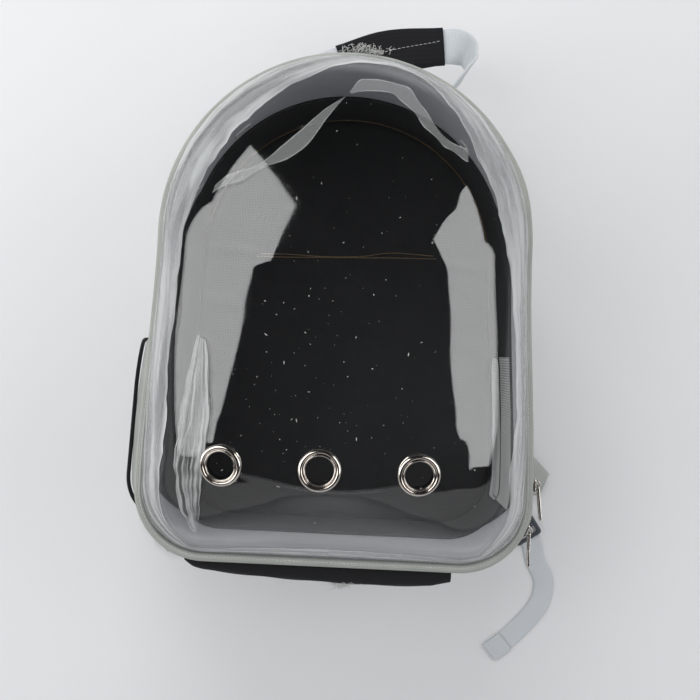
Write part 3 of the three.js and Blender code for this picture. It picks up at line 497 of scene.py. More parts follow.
def plated(name, colour, roughness=0.18):
    """Plated metal with faint smears."""
    material, nodes, links, bsdf = tree(name)
    noise = object_noise(nodes, links, 220, 4)
    add_tint(nodes, links, bsdf, noise, [(0.35, shade(colour, 0.82)), (0.65, colour)])
    rough = nodes.new("ShaderNodeMapRange")
    rough.inputs["To Min"].default_value = roughness * 0.7
    rough.inputs["To Max"].default_value = roughness * 1.5
    links.new(noise.outputs["Fac"], rough.inputs["Value"])
    links.new(rough.outputs["Result"], bsdf.inputs["Roughness"])
    bsdf.inputs["Metallic"].default_value = 1.0
    return material


def moulded(name, colour, roughness=0.45):
    """Moulded plastic with a fine grain."""
    material, nodes, links, bsdf = tree(name)
    noise = object_noise(nodes, links, 900, 3)
    add_tint(nodes, links, bsdf, noise, [(0.3, shade(colour, 0.85)), (0.7, shade(colour, 1.1))])
    add_bump(nodes, links, bsdf, noise.outputs["Fac"], 0.15, 0.0002)
    bsdf.inputs["Roughness"].default_value = roughness
    return material


def clear_sheet(name):
    """Clear vacuum-formed sheet: see-through, mirrored by its angle, with faint scuffs."""
    material, nodes, links, bsdf = tree(name)
    bsdf.inputs["Base Color"].default_value = (1, 1, 1, 1)
    bsdf.inputs["Metallic"].default_value = 1.0
    noise = object_noise(nodes, links, 14, 3)
    rough = nodes.new("ShaderNodeMapRange")
    rough.inputs["From Min"].default_value = 0.35
    rough.inputs["From Max"].default_value = 0.75
    rough.inputs["To Min"].default_value = 0.02
    rough.inputs["To Max"].default_value = 0.06
    links.new(noise.outputs["Fac"], rough.inputs["Value"])
    links.new(rough.outputs["Result"], bsdf.inputs["Roughness"])
    add_bump(nodes, links, bsdf, noise.outputs["Fac"], 0.05, 0.002)
    glass = nodes.new("ShaderNodeBsdfTransparent")
    glass.inputs["Color"].default_value = (0.965, 0.972, 0.975, 1)
    facing = nodes.new("ShaderNodeLayerWeight")
    facing.inputs["Blend"].default_value = 0.5
    power = nodes.new("ShaderNodeMath")
    power.operation = "POWER"
    power.inputs[1].default_value = 5.0
    share = nodes.new("ShaderNodeMath")
    share.operation = "MULTIPLY_ADD"
    share.inputs[1].default_value = 0.96
    share.inputs[2].default_value = 0.04
    mix = nodes.new("ShaderNodeMixShader")
    links.new(facing.outputs["Facing"], power.inputs[0])
    links.new(power.outputs["Value"], share.inputs[0])
    links.new(share.outputs["Value"], mix.inputs["Fac"])
    links.new(glass.outputs["BSDF"], mix.inputs[1])
    links.new(bsdf.outputs["BSDF"], mix.inputs[2])
    links.new(mix.outputs["Shader"], nodes["Material Output"].inputs["Surface"])
    return material


def film(name, thin, thick, grain, torn=0.0):
    """Milky protective film. Its cover runs from thin to thick in streaks, and torn adds to both edges.

    grain is how often it changes per metre along the film, and across its whole width."""
    material, nodes, links, bsdf = tree(name)
    vector = cloth_coordinates(nodes, links, True, (*grain, 1))
    noise = nodes.new("ShaderNodeTexNoise")
    noise.inputs["Scale"].default_value = 1.0
    noise.inputs["Detail"].default_value = 4
    links.new(vector, noise.inputs["Vector"])
    cover = nodes.new("ShaderNodeMapRange")
    for end, value in (("From Min", 0.38), ("From Max", 0.62), ("To Min", thin), ("To Max", thick)):
        cover.inputs[end].default_value = value
    links.new(noise.outputs["Fac"], cover.inputs["Value"])
    across = nodes.new("ShaderNodeSeparateXYZ")
    links.new(cloth_coordinates(nodes, links, True, (1, 1, 1)), across.inputs["Vector"])
    edge = ramp(
        nodes, links, across.outputs["Y"],
        [(0.0, (torn,) * 3), (0.12, (0, 0, 0)), (0.88, (0, 0, 0)), (1.0, (torn,) * 3)]
    )
    whole = nodes.new("ShaderNodeMath")
    whole.operation = "ADD"
    whole.use_clamp = True
    links.new(cover.outputs["Result"], whole.inputs[0])
    links.new(edge.outputs["Color"], whole.inputs[1])
    links.new(whole.outputs["Value"], bsdf.inputs["Alpha"])
    add_tint(nodes, links, bsdf, noise, [(0.3, (0.66, 0.68, 0.67)), (0.7, (0.80, 0.82, 0.81))])
    add_bump(nodes, links, bsdf, noise.outputs["Fac"], 0.2, 0.0005)
    bsdf.inputs["Roughness"].default_value = 0.4
    return material


def painted_floor():
    material, nodes, links, bsdf = tree("Table")
    noise = object_noise(nodes, links, 2.0)
    add_tint(nodes, links, bsdf, noise, [(0.3, (0.76, 0.76, 0.77)), (0.7, (0.80, 0.80, 0.81))])
    bsdf.inputs["Roughness"].default_value = 0.7
    return material


bpy.data.materials.new("Blank")
GREY = fabric("Grey_fabric", (0.50, 0.515, 0.49), pitch=0.8)
OUTER = fabric("Grey_outer_fabric", (0.56, 0.575, 0.56), pitch=0.9)
LINING = fabric("Grey_lining", (0.60, 0.60, 0.625), pitch=0.7, depth=0.15, variation=0.06)
BLACK = fabric("Black_fabric", (0.014, 0.014, 0.016), pitch=0.9, depth=0.3, roughness=0.85, sheen=0.05)
BLACK_LINING = fabric(
    "Black_lining", (0.036, 0.036, 0.037), pitch=0.8, depth=0.2, roughness=0.8, sheen=0.03
)
PAD = fabric("Pad_mesh_fabric", (0.05, 0.052, 0.056), pitch=2.4, depth=0.6, use_uv=False)
WEBBING = fabric("Webbing", (0.67, 0.70, 0.73), pitch=0.9, depth=0.3, variation=0.05, gap=0.14)
BINDING = fabric("Rim_binding", (0.45, 0.465, 0.43), pitch=0.9, depth=0.3)
TAPE = fabric("Zipper_tape", (0.42, 0.435, 0.40), pitch=0.7)
COIL = moulded("Zipper_coil", (0.42, 0.43, 0.40), 0.4)
MESH = netting("Window_mesh", (0.66, 0.65, 0.63), 2.2, 1.15)
NET = netting("Pocket_net", (0.70, 0.71, 0.71), 4.2, 3.2, diamond=True)
NICKEL = plated("Nickel", (0.62, 0.57, 0.52), 0.12)
SLIDER = plated("Slider_metal", (0.72, 0.68, 0.63), 0.2)
BUCKLE = moulded("Buckle_plastic", (0.06, 0.07, 0.085))
CLEAR = clear_sheet("Clear_sheet")
FILM_EDGE = film("Film_edge", 0.12, 0.52, (9, 5), torn=0.22)
FILM_WRINKLED = film("Film_wrinkled", 0.05, 0.5, (12, 7), torn=0.25)
FILM_STRIP = film("Film_strip", 0.12, 0.26, (900, 22), torn=0.2)
LINT = moulded("Lint", (0.62, 0.62, 0.60), 0.8)
TAN = moulded("Tan_thread", (0.42, 0.28, 0.14), 0.7)
WHITE_THREAD = moulded("White_thread", (0.75, 0.75, 0.75), 0.7)


# The clear bubble
def profile_rows(t):
    """Rise and the three inward shares at t along the profile."""
    return spline(BUBBLE_PROFILE, t)


def bubble_point(u, t, drop=0.0):
    """A point of the bubble's skin in millimetres; drop is how far inside the outer skin."""
    foot = rim(u, BUBBLE_INSET + drop)
    across, along = (foot[..., 0] / (RIM_W / 2)) ** 2, (foot[..., 1] / (RIM_H / 2)) ** 2
    side = across / (across + along)
    rows = profile_rows(t)
    inward = rows[..., 1] * side + np.where(foot[..., 1] > 0, rows[..., 2], rows[..., 3]) * (1 - side)
    plan = foot * (1 - inward)[..., None]
    return np.concatenate([plan, (BUBBLE_Z + rows[..., 0] * (BUBBLE_H - drop))[..., None]], -1)


FOOT_U = np.linspace(0, 1, 4001)[:-1]
FOOT = rim(FOOT_U, BUBBLE_INSET)
FOOT_ANGLE = np.unwrap(np.arctan2(FOOT[:, 1], FOOT[:, 0]))
DENSE_T = np.linspace(0, 1, 1500)
DENSE = profile_rows(DENSE_T)


def bubble_place(x, y):
    """(u, t) of the skin over a plan point in millimetres."""
    angle = math.atan2(y, x)
    while angle < FOOT_ANGLE[0]:
        angle += 2 * math.pi
    u = float(np.interp(angle, FOOT_ANGLE, FOOT_U))
    foot = rim(u, BUBBLE_INSET)
    side = (foot[0] / (RIM_W / 2)) ** 2
    side /= side + (foot[1] / (RIM_H / 2)) ** 2
    ends = DENSE[:, 2] if foot[1] > 0 else DENSE[:, 3]
    inward = np.maximum.accumulate(DENSE[:, 1] * side + ends * (1 - side))
    return u, float(np.interp(1 - math.hypot(x, y) / np.linalg.norm(foot), inward, DENSE_T))


def on_bubble(x, y, lift=0.0):
    """The point over (x, y), moved out of the skin by lift."""
    u, t = bubble_place(x, y)
    here = bubble_point(u, t)
    du = bubble_point(u + 0.002, t) - bubble_point(u - 0.002, t)
    dt = bubble_point(u, min(t + 0.01, 0.999)) - bubble_point(u, max(t - 0.01, 0))
    normal = np.cross(du, dt)
    return here + lift * normal / (np.linalg.norm(normal) + 1e-9)


def node_axis(name):
    """Centre, axis and axial span of a turned CAD node, in millimetres."""
    points = np.array([v.co for v in frame["nodes"][name].data.vertices]) * 1000
    axis = np.linalg.svd(points - points.mean(0), full_matrices=False)[2][2]
    axis = axis if axis[2] > 0 else -axis
    middle = (points.min(0) + points.max(0)) / 2
    return middle, axis, float(((points - middle) @ axis).min()), float(((points - middle) @ axis).max())


def lathe(name, profile, centre, axis, material, segments=72, body=PACK):
    axis = Vector(axis)
    side = axis.orthogonal().normalized()
    other = axis.cross(side)
    side, other, axis = np.array(side), np.array(other), np.array(axis)
    verts = []
    for k in range(segments):
        a = 2 * math.pi * k / segments
        out = side * math.cos(a) + other * math.sin(a)
        verts += [centre + out * r + axis * z for r, z in profile]
    return outward(make(name, verts, grid_faces(segments, len(profile), True, True), material, body=body))


def make_bubble():
    count, levels = 288, np.linspace(0, 0.985, 84)
    us = np.arange(count) / count
    skins = []
    for drop in (0.0, 1.8):
        uu, tt = np.meshgrid(us, levels)
        skins.append(bubble_point(uu, tt, drop))
    rows = len(levels)
    verts = np.concatenate(
        [s.reshape(-1, 3) for s in skins]
        + [[[0, 0, BUBBLE_Z + BUBBLE_H]], [[0, 0, BUBBLE_Z + BUBBLE_H - 1.8]]]
    )
    size = rows * count
    faces = grid_faces(rows, count, loop_columns=True)
    faces += [tuple(reversed(f)) for f in grid_faces(rows, count, loop_columns=True, start=size)]
    for j in range(count):
        k = (j + 1) % count
        faces.append((size - count + j, size - count + k, 2 * size))
        faces.append((2 * size - count + k, 2 * size - count + j, 2 * size + 1))
        faces.append((j, size + j, size + k, k))
    shell = outward(make("bubble", verts, faces, CLEAR))
    cutters = []
    for name in GROMMETS:
        centre, axis = node_axis(name)[:2]
        cutters.append(
            lathe(
                "cutter", [(0.01, -20), (11.9, -20), (11.9, 20), (0.01, 20)], centre, axis,
                bpy.data.materials["Blank"], body=None
            )
        )
    cut(shell, cutters)
    shell.data.polygons.foreach_set("use_smooth", [True] * len(shell.data.polygons))
    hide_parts("bubble_shell")
    return shell


GROMMETS = ("grommet_left", "grommet_middle", "grommet_right")


def make_grommets():
    for name in GROMMETS:
        centre, axis, low, high = node_axis(name)
        top = [
            (11.7, -2.3), (15.7, -2.3), (15.8, -1.9), (15.55, -1.1), (14.9, -0.42), (14.1, -0.08),
            (13.4, -0.05), (12.8, -0.3),
            (12.45, -0.85), (12.3, -1.35), (12.05, -1.4), (11.85, -0.95), (11.5, -0.62), (11.1, -0.6),
            (10.7, -0.85), (10.4, -1.5), (10.3, -2.4),
        ]
        profile = [(r, high + z) for r, z in top]
        profile += [(10.3, low), (14.6, low), (14.8, low + 0.4), (14.6, low + 0.9), (11.7, low + 0.9)]
        piece = lathe(name.replace("grommet", "vent_grommet"), profile, centre, axis, NICKEL)
        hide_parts(name)


# Inner edge of the film left under the rim, as plan points in millimetres, anticlockwise from the lower right
FILM_INNER = [
    (72, -202), (96, -200), (115, -192), (127, -170), (131, -124), (134, -79), (131, -30), (125, 15),
    (115, 60), (105, 95), (94, 124),
    (82, 146), (69, 161), (54, 175), (34, 184), (12, 186), (-10, 182), (-32, 172), (-50, 160), (-66, 144),
    (-81, 126), (-93, 109),
    (-104, 94), (-111, 78), (-116, 60), (-120, 36), (-122, 0), (-123, -38), (-124, -75), (-126, -113),
    (-129, -136), (-128, -158),
    (-120, -180), (-106, -195), (-56, -202), (16, -202),
]


def make_film():
    """The rest of the protective film: a ragged ring inside the rim, two torn strips, a crumpled end."""
    rng = random.Random(4)
    measured = sorted(bubble_place(x, y) for x, y in FILM_INNER)
    known_u, known_t = np.array(measured).T
    count, rows = 900, 9
    us = np.arange(count) / count
    edge = np.interp(us, np.concatenate([known_u - 1, known_u, known_u + 1]), np.tile(known_t, 3))
    ragged = np.zeros(count)
    for step, size in ((60, 0.012), (23, 0.008), (7, 0.004)):
        knots = np.array([rng.uniform(-1, 1) for _ in range(count // step + 2)])
        ragged += size * np.interp(np.arange(count), np.arange(len(knots)) * step, knots)
    edge = edge + ragged
    start = 0.116
    verts, uvs = [], []
    for i, u in enumerate(us):
        left = math.exp(-(((u - 0.76) / 0.1) ** 2))
        for r in range(rows):
            f = r / (rows - 1)
            t = start + (max(edge[i], start + 0.03) - start) * f
            here = bubble_point(u, t)
            du = bubble_point(u + 0.002, t) - bubble_point(u - 0.002, t)
            dt = bubble_point(u, t + 0.01) - bubble_point(u, t - 0.01)
            normal = np.cross(du, dt)
            normal /= np.linalg.norm(normal)
            wave = math.sin(9 * f + 40 * u) * (0.5 + 1.1 * left) * f + 0.35 * math.sin(260 * u + 5 * f)
            verts.append(here + normal * (0.9 + 0.5 * max(wave, -0.6)))
            uvs.append((u * ROUND, f / MM))
    piece = make("film_ring", verts, grid_faces(count, rows, loop_rows=True), FILM_EDGE, uvs=uvs)
    strips = {
        "film_strip_left": (
            [(-98, 78), (-87, 84), (-78, 86), (-62, 96), (-42, 105), (-28, 117), (-15, 138), (-4, 153)],
            [
                (-96, 84), (-86, 92), (-76, 95), (-62, 101), (-48, 114), (-36, 125), (-21, 140),
                (-4, 153.5)
            ],
        ),
        "film_strip_right": (
            [(0, 155.5), (17, 159), (32, 156), (44, 146), (55, 133), (67, 122), (76, 116), (88, 110)],
            [(-1, 157), (7, 168), (24, 168), (40, 165), (50, 154), (59, 140), (75, 123), (88, 121)],
        ),
        "film_crumple": (
            [
                (-104, -26), (-110, -60), (-114, -89), (-116, -111), (-116, -134), (-111, -160),
                (-104, -176)
            ],
            [(-97, -30), (-93, -62), (-92, -94), (-94, -116), (-96, -135), (-98, -155), (-102, -175)],
        ),
    }
    for name, (low, high) in strips.items():
        columns, across = 90, 7
        verts, uvs = [], []
        for i in range(columns):
            s = i / (columns - 1)
            a, b = spline(low, s), spline(high, s)
            for j in range(across):
                f = j / (across - 1)
                jag = 0.5 * math.sin(31 * s + 2 * j) if j in (0, across - 1) else 0
                x, y = a + (b - a) * f + jag
                crumple = 2.2 if name == "film_crumple" else 0.5
                lift = 0.8 + crumple * (
                    0.5 + 0.5 * math.sin(17 * s + 6 * f) * math.sin(41 * s - 4 * f)
                ) * min(8 * s * (1 - s) + 0.1, 1)
                verts.append(on_bubble(x, y, lift))
                uvs.append((130 * s, f / MM))
        material = FILM_WRINKLED if name == "film_crumple" else FILM_STRIP
        piece = make(name, verts, grid_faces(columns, across), material, uvs=uvs)


def make_dust():
    """Specks of dust on the bubble, thicker over its lower middle."""
    rng = random.Random(11)
    verts, faces = [], []
    for _ in range(230):
        x, y = (rng.gauss(-35, 50), rng.gauss(-55, 60)) if rng.random() < 0.6 else (
            rng.uniform(-110, 110), rng.uniform(-150, 150)
        )
        if abs(x) > 115 or abs(y) > 165:
            continue
        size = rng.choice((0.15, 0.18, 0.24, 0.33, 0.5))
        a = rng.uniform(0, 3.14)
        long = rng.choice((1, 1, 1.6, 3))
        base = len(verts)
        for k in range(5):
            b = 2 * math.pi * k / 5
            dx, dy = size * long * math.cos(b), size * 0.7 * math.sin(b)
            verts.append(
                on_bubble(
                    x + dx * math.cos(a) - dy * math.sin(a), y + dx * math.sin(a) + dy * math.cos(a), 0.12
                )
            )
        verts.append(on_bubble(x, y, 0.12 + size * 0.5))
        faces += [(base + k, base + (k + 1) % 5, base + 5) for k in range(5)]
    make("bubble_dust", verts, faces, LINT)


# Rim, zipper and hinge
def make_rim():
    def section(u):
        w = 0.25 * math.sin(70 * u * 2 * math.pi) * 0.4
        return [
            (0.1, RIM_Z + 2.2), (0.0, RIM_Z + 4), (0.0, RIM_Z + 6.4), (0.35, RIM_Z + 8.2),
            (1.1, RIM_Z + 9.4), (2.0, RIM_TOP - 0.1 + w * 0.2),
            (3.0, RIM_TOP), (3.9, RIM_TOP - 0.15), (4.3, RIM_TOP - 0.55), (4.6, RIM_TOP - 0.2),
            (5.4, RIM_TOP - 0.4), (5.9, RIM_TOP - 1.1),
            (6.0, RIM_TOP - 3), (6.0, RIM_Z + 1), (5.0, RIM_Z + 0.2), (2.2, RIM_Z), (0.8, RIM_Z + 0.8),
        ]

    piece = ring_piece("cover_binding", section, BINDING, 420)
    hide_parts("cover_rim")
    us = np.linspace(0, 1, 1600)
    plan = rim(us, 4.3)
    path = np.column_stack([plan, np.full(len(us), RIM_TOP - 0.45)])
    stitches("cover_stitching", path, 2.4, 0.9, 0.16, WHITE_THREAD, lift=(0, 0, 0.22))


def flare(u):
    """How far the zipper stands out under the rim, in millimetres, where the cloth is pushed out."""
    u = u % 1.0
    upper = math.exp(-(((u - 0.36) / 0.055) ** 2))
    lower = math.exp(-(((u - 0.135) / 0.03) ** 2))
    return 4.6 * upper + 4.2 * lower + 0.4 * math.sin(2 * math.pi * 9 * u)


ZIP_SPAN = (u_at_x(98) + 0.0005, 1 + u_at_x(-118) - 0.0005)


def make_zipper():
    top, low = 204.8, 184.8

    def tape(u):
        rows = []
        for k in range(9):
            f = k / 8
            rows.append((2.5 - flare(u) * math.sin(math.pi * f), top - (top - low) * f))
        back = [(i + 1.1, z) for i, z in reversed(rows)]
        return rows + back

    piece = ring_piece("zipper_tape_cloth", tape, TAPE, 420, span=ZIP_SPAN)
    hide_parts("zipper_tape")
    verts, faces = [], []
    pitch = 2.3
    count = int((ZIP_SPAN[1] - ZIP_SPAN[0]) * ROUND / pitch)
    for row, z in ((0, TEETH_Z + 1.25), (1, TEETH_Z - 1.25)):
        for k in range(count):
            u = ZIP_SPAN[0] + (k + 0.5 * row) * pitch / ROUND
            base = 2.1 - flare(u)
            start = len(verts)
            half = 0.68 / ROUND
            for inset, dz in (
                (base, -1.55), (base, 1.55), (base - 1.5, 1.2), (base - 2.0, 0), (base - 1.5, -1.2)
            ):
                for du in (-half, half):
                    x, y = rim(u + du, inset)
                    verts.append((x, y, z + dz))
            for c in range(5):
                a, b = start + 2 * c, start + 2 * ((c + 1) % 5)
                faces.append((a, b, b + 1, a + 1))
            faces += [
                tuple(start + 2 * c for c in range(5)),
                tuple(start + 2 * c + 1 for c in reversed(range(5)))
            ]
    piece = outward(make("zipper_coil", verts, faces, COIL, smooth=False))
    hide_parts("zipper_teeth")


HINGE_SWELL = [
    (0, 0.42), (0.03, 0.6), (0.08, 0.68), (0.25, 0.84), (0.5, 0.95), (0.75, 1.0), (0.93, 0.92), (1, 0.72)
]


def make_hinge():
    """The black cloth hinge along the base, with its frayed threads and end tab."""
    columns = 90
    section = [
        (0, 0), (0.3, -0.01), (0.62, 0.01), (0.88, 0.08), (0.985, 0.2), (1.0, 0.36), (0.96, 0.55),
        (0.86, 0.75), (0.68, 0.91), (0.42, 0.99), (0.2, 1.0), (0, 0.98)
    ]
    verts, uvs = [], []
    for i in range(columns):
        f = i / (columns - 1)
        x = -118 + 216 * f
        swell = 20 * float(np.interp(f, *zip(*HINGE_SWELL)))
        wall = float(rim(u_at_x(x), 3.7)[1])
        for k, (d, down) in enumerate(section):
            ripple = 0.35 * math.sin(29 * f + 3 * k) * d
            verts.append((x, wall - swell * d + ripple, GUSSET_TOP - 33 * down))
            uvs.append((x, 33 * down + 20 * d * (1 if down < 0.5 else -1)))
    m = len(section)
    faces = grid_faces(columns, m, loop_columns=True) + caps(columns, m)
    piece = outward(make("hinge_cloth", verts, faces, BLACK, uvs=uvs))
    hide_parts("hinge_strip")
    y = float(rim(u_at_x(98), 3.7)[1]) - 6.4
    z = GUSSET_TOP - 16.5 - 6
    tab = ribbon(
        "hinge_tab",
        [(98.3, y, z, 90, 12, 3.4), (107.5, y + 1, z, 90, 12, 3.6), (117, y + 4, z - 1, 90, 12, 3.6)], 10,
        BLACK
    )
    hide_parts("hinge_end_tab")
    tangle("hinge_frays", (12, -221, 196), (12, 3.5, 6), 60, 10, 3, 0.24)


def tangle(name, centre, spread, count, length, seed, radius=0.17):
    """Frayed threads: short random curls round a place."""
    rng = random.Random(seed)
    runs = []
    for _ in range(count):
        p = np.array([rng.gauss(c, s / 2) for c, s in zip(centre, spread)])
        p = np.clip(p, np.array(centre) - spread, np.array(centre) + spread)
        direction = np.array([rng.uniform(-1, 1) for _ in range(3)])
        points = [p]
        for _ in range(6):
            direction = direction + np.array([rng.uniform(-0.8, 0.8) for _ in range(3)])
            direction /= np.linalg.norm(direction)
            step = points[-1] + direction * length / 6 * rng.uniform(0.5, 1.1)
            points.append(
                np.clip(
                    step, np.array(centre) - np.array(spread) * 1.4,
                    np.array(centre) + np.array(spread) * 1.4
                )
            )
        runs.append(points)
    return thread(name, runs, radius, LINT, sides=4)


def plate_ring(name, outer, inner, thickness, place, material, body, bevel=0.35):
    """A flat plate with a hole, from two outlines of as many points, in place's first two axes."""
    origin, first, second, normal = (np.array(v, float) for v in place)
    n = len(outer)
    verts = []
    for loop, side in ((outer, 1), (inner, 1), (inner, -1), (outer, -1)):
        verts += [origin + first * a + second * b + normal * side * thickness / 2 for a, b in loop]
    piece = outward(make(name, verts, grid_faces(4, n, True, True), material, body=body))
    return apply(piece, "BEVEL", width=bevel * MM, segments=2, limit_method="ANGLE")


def make_sliders():
    for name, y, turn, tilt in (("upper", -135.0, 1.19, 5.0), ("lower", -171.0, -22.5, 23.0)):
        turn, tilt = math.radians(turn), math.radians(tilt)
        out = np.array([math.cos(turn), math.sin(turn), 0])
        up = np.array([-math.sin(turn), math.cos(turn), 0])
        z = np.array([0, 0, 1.0])
        foot = np.array([{"upper": 160.18, "lower": 155.19}[name], y, TEETH_Z])
        # body: a waisted shield with a groove along its sides
        shield = [(5.5, 3.2), (5.0, 4.0), (3.2, 4.2), (0, 3.0), (-3.6, 3.3), (-5.2, 2.9), (-5.5, 2.2)]
        shield = shield + [(a, -b) for a, b in reversed(shield)]
        verts = []
        for depth, scale in (
            (0.1, 0.9), (0.5, 1.0), (1.5, 1.0), (1.7, 0.86), (2.6, 0.86), (2.8, 1.0), (3.9, 1.0),
            (4.4, 0.88)
        ):
            verts += [foot + out * depth + up * a * scale + z * b * scale for a, b in shield]
        m = len(shield)
        faces = grid_faces(8, m, loop_columns=True) + caps(8, m)
        body = outward(make(f"zip_slider_{name}", verts, faces, SLIDER))
        apply(body, "BEVEL", width=0.2 * MM, segments=2, limit_method="ANGLE")
        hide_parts(f"slider_{name}")
        arch = [
            (-4.3, 4.0), (-4.2, 5.6), (-3.4, 7.3), (-1.6, 8.4), (0, 8.7), (1.6, 8.4), (3.4, 7.3),
            (4.2, 5.6), (4.3, 4.0)
        ]
        verts = []
        for a, d in arch:
            nearer = np.array([a, d - 4.0]) * 0.76
            for far in (1.15, -1.15):
                verts.append(foot + up * a + out * d + z * far)
            for far in (-1.15, 1.15):
                verts.append(foot + up * nearer[0] + out * (4.0 + nearer[1]) + z * far)
        faces = grid_faces(len(arch), 4, loop_columns=True) + [
            (3, 2, 1, 0), tuple(range(4 * len(arch) - 4, 4 * len(arch)))
        ]
        bridge = outward(make(f"zip_bridge_{name}", verts, faces, SLIDER))
        apply(bridge, "BEVEL", width=0.25 * MM, segments=2, limit_method="ANGLE")
        # pull: a slotted plate with a wider foot, hanging from its bar
        angle = turn + tilt
        down = np.array([math.sin(angle), -math.cos(angle), 0])
        normal = np.array([math.cos(angle), math.sin(angle), 0])
        pivot = foot + out * 6.2
        outer, inner = [], []
        for a, b in rounded_rectangle(30, 8, 2.6, 6, (14.1, 0)):
            outer.append((a, b * (0.86 if a < 14 else 1.0)))
        for a, b in rounded_rectangle(21.6, 4.4, 1.4, 6, (11.9, 0)):
            inner.append((a, b * (0.9 if a < 12 else 1.0)))
        pull = plate_ring(
            f"zip_pull_{name}", outer, inner, 1.6, (pivot, down, z, normal), SLIDER, f"pull_{name}"
        )
        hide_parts(f"pull_{name}")


# Body of the pack
WINDOW_Y, WINDOW_Z = (-165.0, -31.0), (32.3, 97.3)
MESH_LINING_TOP = 156.0


def window_tool():
    middle = (sum(WINDOW_Y) / 2, sum(WINDOW_Z) / 2)
    outline = rounded_rectangle(WINDOW_Y[1] - WINDOW_Y[0], WINDOW_Z[1] - WINDOW_Z[0], 14, 8, middle)
    return tool_prism(outline, "x", 80, 240)


def soft_wall(u, z, inset, amount):
    """Inset of a cloth wall with the slack of real cloth between its two sewn edges."""
    f = (z - INSIDE_Z) / (GUSSET_TOP - INSIDE_Z)
    free = 4 * f * (1 - f)
    wave = math.sin(2 * math.pi * 5 * u + 2.2 * f) + 0.6 * math.sin(2 * math.pi * 11 * u - 3.1 * f + 1.3)
    fold = math.exp(-((math.sin(math.pi * 7 * u + 1.5 * f) / 0.12) ** 2))
    return inset + amount * free * (0.45 * wave + 0.8 * fold)


REAR_LINING_SIDE_RISE = 52.0


def make_walls():
    levels = np.linspace(INSIDE_Z, GUSSET_TOP, 15)

    def outer(u):
        rows = [(soft_wall(u, z, 4.0, 0.7), z) for z in levels]
        return rows + [(i + 1.3, z) for i, z in reversed(rows)]

    def lining(u):
        rows = [(5.75, z) for z in levels]
        return rows + [(soft_wall(u + 0.03, z, 7.0, -0.25), z) for z in reversed(levels)]

    wall = cut(ring_piece("gusset_cloth", outer, OUTER, 360), [window_tool()])
    inside = cut(ring_piece("gusset_lining", lining, LINING, 300), [window_tool()])
    for piece in (wall, inside):
        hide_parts("side_gusset")

    def rear(u):
        y = float(rim(u)[1])
        top = 104.2 + REAR_LINING_SIDE_RISE * min(
            max((110 - y) / 60, 0), 1
        ) * min(max((y + 190) / 30, 0), 1)
        levels = np.linspace(19.2, top, 9)
        return [(7.35, z) for z in levels] + [
            (soft_wall(u + 0.02, z, 8.7, -0.3), z) for z in reversed(levels)
        ]

    black = cut(ring_piece("rear_wall_lining", rear, BLACK_LINING, 300), [window_tool()])
    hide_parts("rear_lining")
    # seams round the pack: a piping over the back seam, and stitching beside it
    for name, inset, z, radius, material, slot in (
        ("back_seam_piping", 3.2, 19.5, 1.9, BLACK, "black_fabric"),
    ):
        section = [
            (inset + radius * math.cos(a), z + radius * math.sin(a))
            for a in np.linspace(0, 2 * math.pi, 11)[:-1]
        ]
        ring_piece(name, lambda u, s=section: s, material, 360)
    us = np.linspace(0, 1, 1500)
    for name, z in (("wall_stitching_back", 25.0), ("wall_stitching_front", 182.0)):
        path = np.column_stack([rim(us, 3.75), np.full(len(us), z)])
        stitches(name, path, 2.8, 1.2, 0.2, WHITE_THREAD)


def make_window():
    us = np.linspace(u_at_y(WINDOW_Y[0] + 0.4), u_at_y(WINDOW_Y[1] - 0.4), 60)
    zs = np.linspace(WINDOW_Z[0] + 0.4, WINDOW_Z[1] - 0.4, 26)
    verts, uvs = [], []
    for u in us:
        for z in zs:
            plan = rim(u, 5.5)
            verts.append((plan[0], plan[1], z))
            uvs.append((u * ROUND, z))
    sheet = make("window_netting", verts, grid_faces(60, 26), MESH, uvs=uvs)
    prism = rounded_rectangle(
        WINDOW_Y[1] - WINDOW_Y[0] - 0.8, WINDOW_Z[1] - WINDOW_Z[0] - 0.8, 13.6, 8,
        (sum(WINDOW_Y) / 2, sum(WINDOW_Z) / 2)
    )
    apply(sheet, "BOOLEAN", operation="INTERSECT", solver="EXACT", object=tool_prism(prism, "x", 80, 240))
    for leftover in [o for o in scene.objects if o.name.startswith("cutter")]:
        bpy.data.objects.remove(leftover)
    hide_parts("window_mesh")
    # mesh lining that runs on up the inside of the wall, over the window
    verts, uvs = [], []
    zs = np.linspace(WINDOW_Z[1] - 6, MESH_LINING_TOP, 20)
    for u in us:
        for z in zs:
            plan = rim(u, 9.4)
            verts.append((plan[0], plan[1], z))
            uvs.append((u * ROUND, z))
    lining = make("window_mesh_lining", verts, grid_faces(60, 20), MESH, uvs=uvs)
    # bound edge of the window
    for name, inset, material, slot in (
        ("window_binding_out", 3.5, BLACK, "black_fabric"),
        ("window_binding_in", 9.2, BLACK, "black_fabric")
    ):
        edge = rounded_rectangle(
            WINDOW_Y[1] - WINDOW_Y[0] + 3, WINDOW_Z[1] - WINDOW_Z[0] + 3, 15.5, 10,
            (sum(WINDOW_Y) / 2, sum(WINDOW_Z) / 2)
        )
        centres = [np.array([wall_x(y, inset), y, z]) for y, z in stepped(edge, 6)]
        n = len(centres)
        verts = []
        for i, c in enumerate(centres):
            along = centres[(i + 1) % n] - centres[i - 1]
            along /= np.linalg.norm(along)
            across = np.cross(along, [1, 0, 0])
            for a, b in ((2.6, 0), (2.2, 0.5), (0, 0.75), (-2.2, 0.5), (-2.6, 0), (0, -0.1)):
                verts.append(c + across * a + np.array([b if inset < 6 else -b, 0, 0]))
        outward(make(name, verts, grid_faces(n, 6, True, True), material))


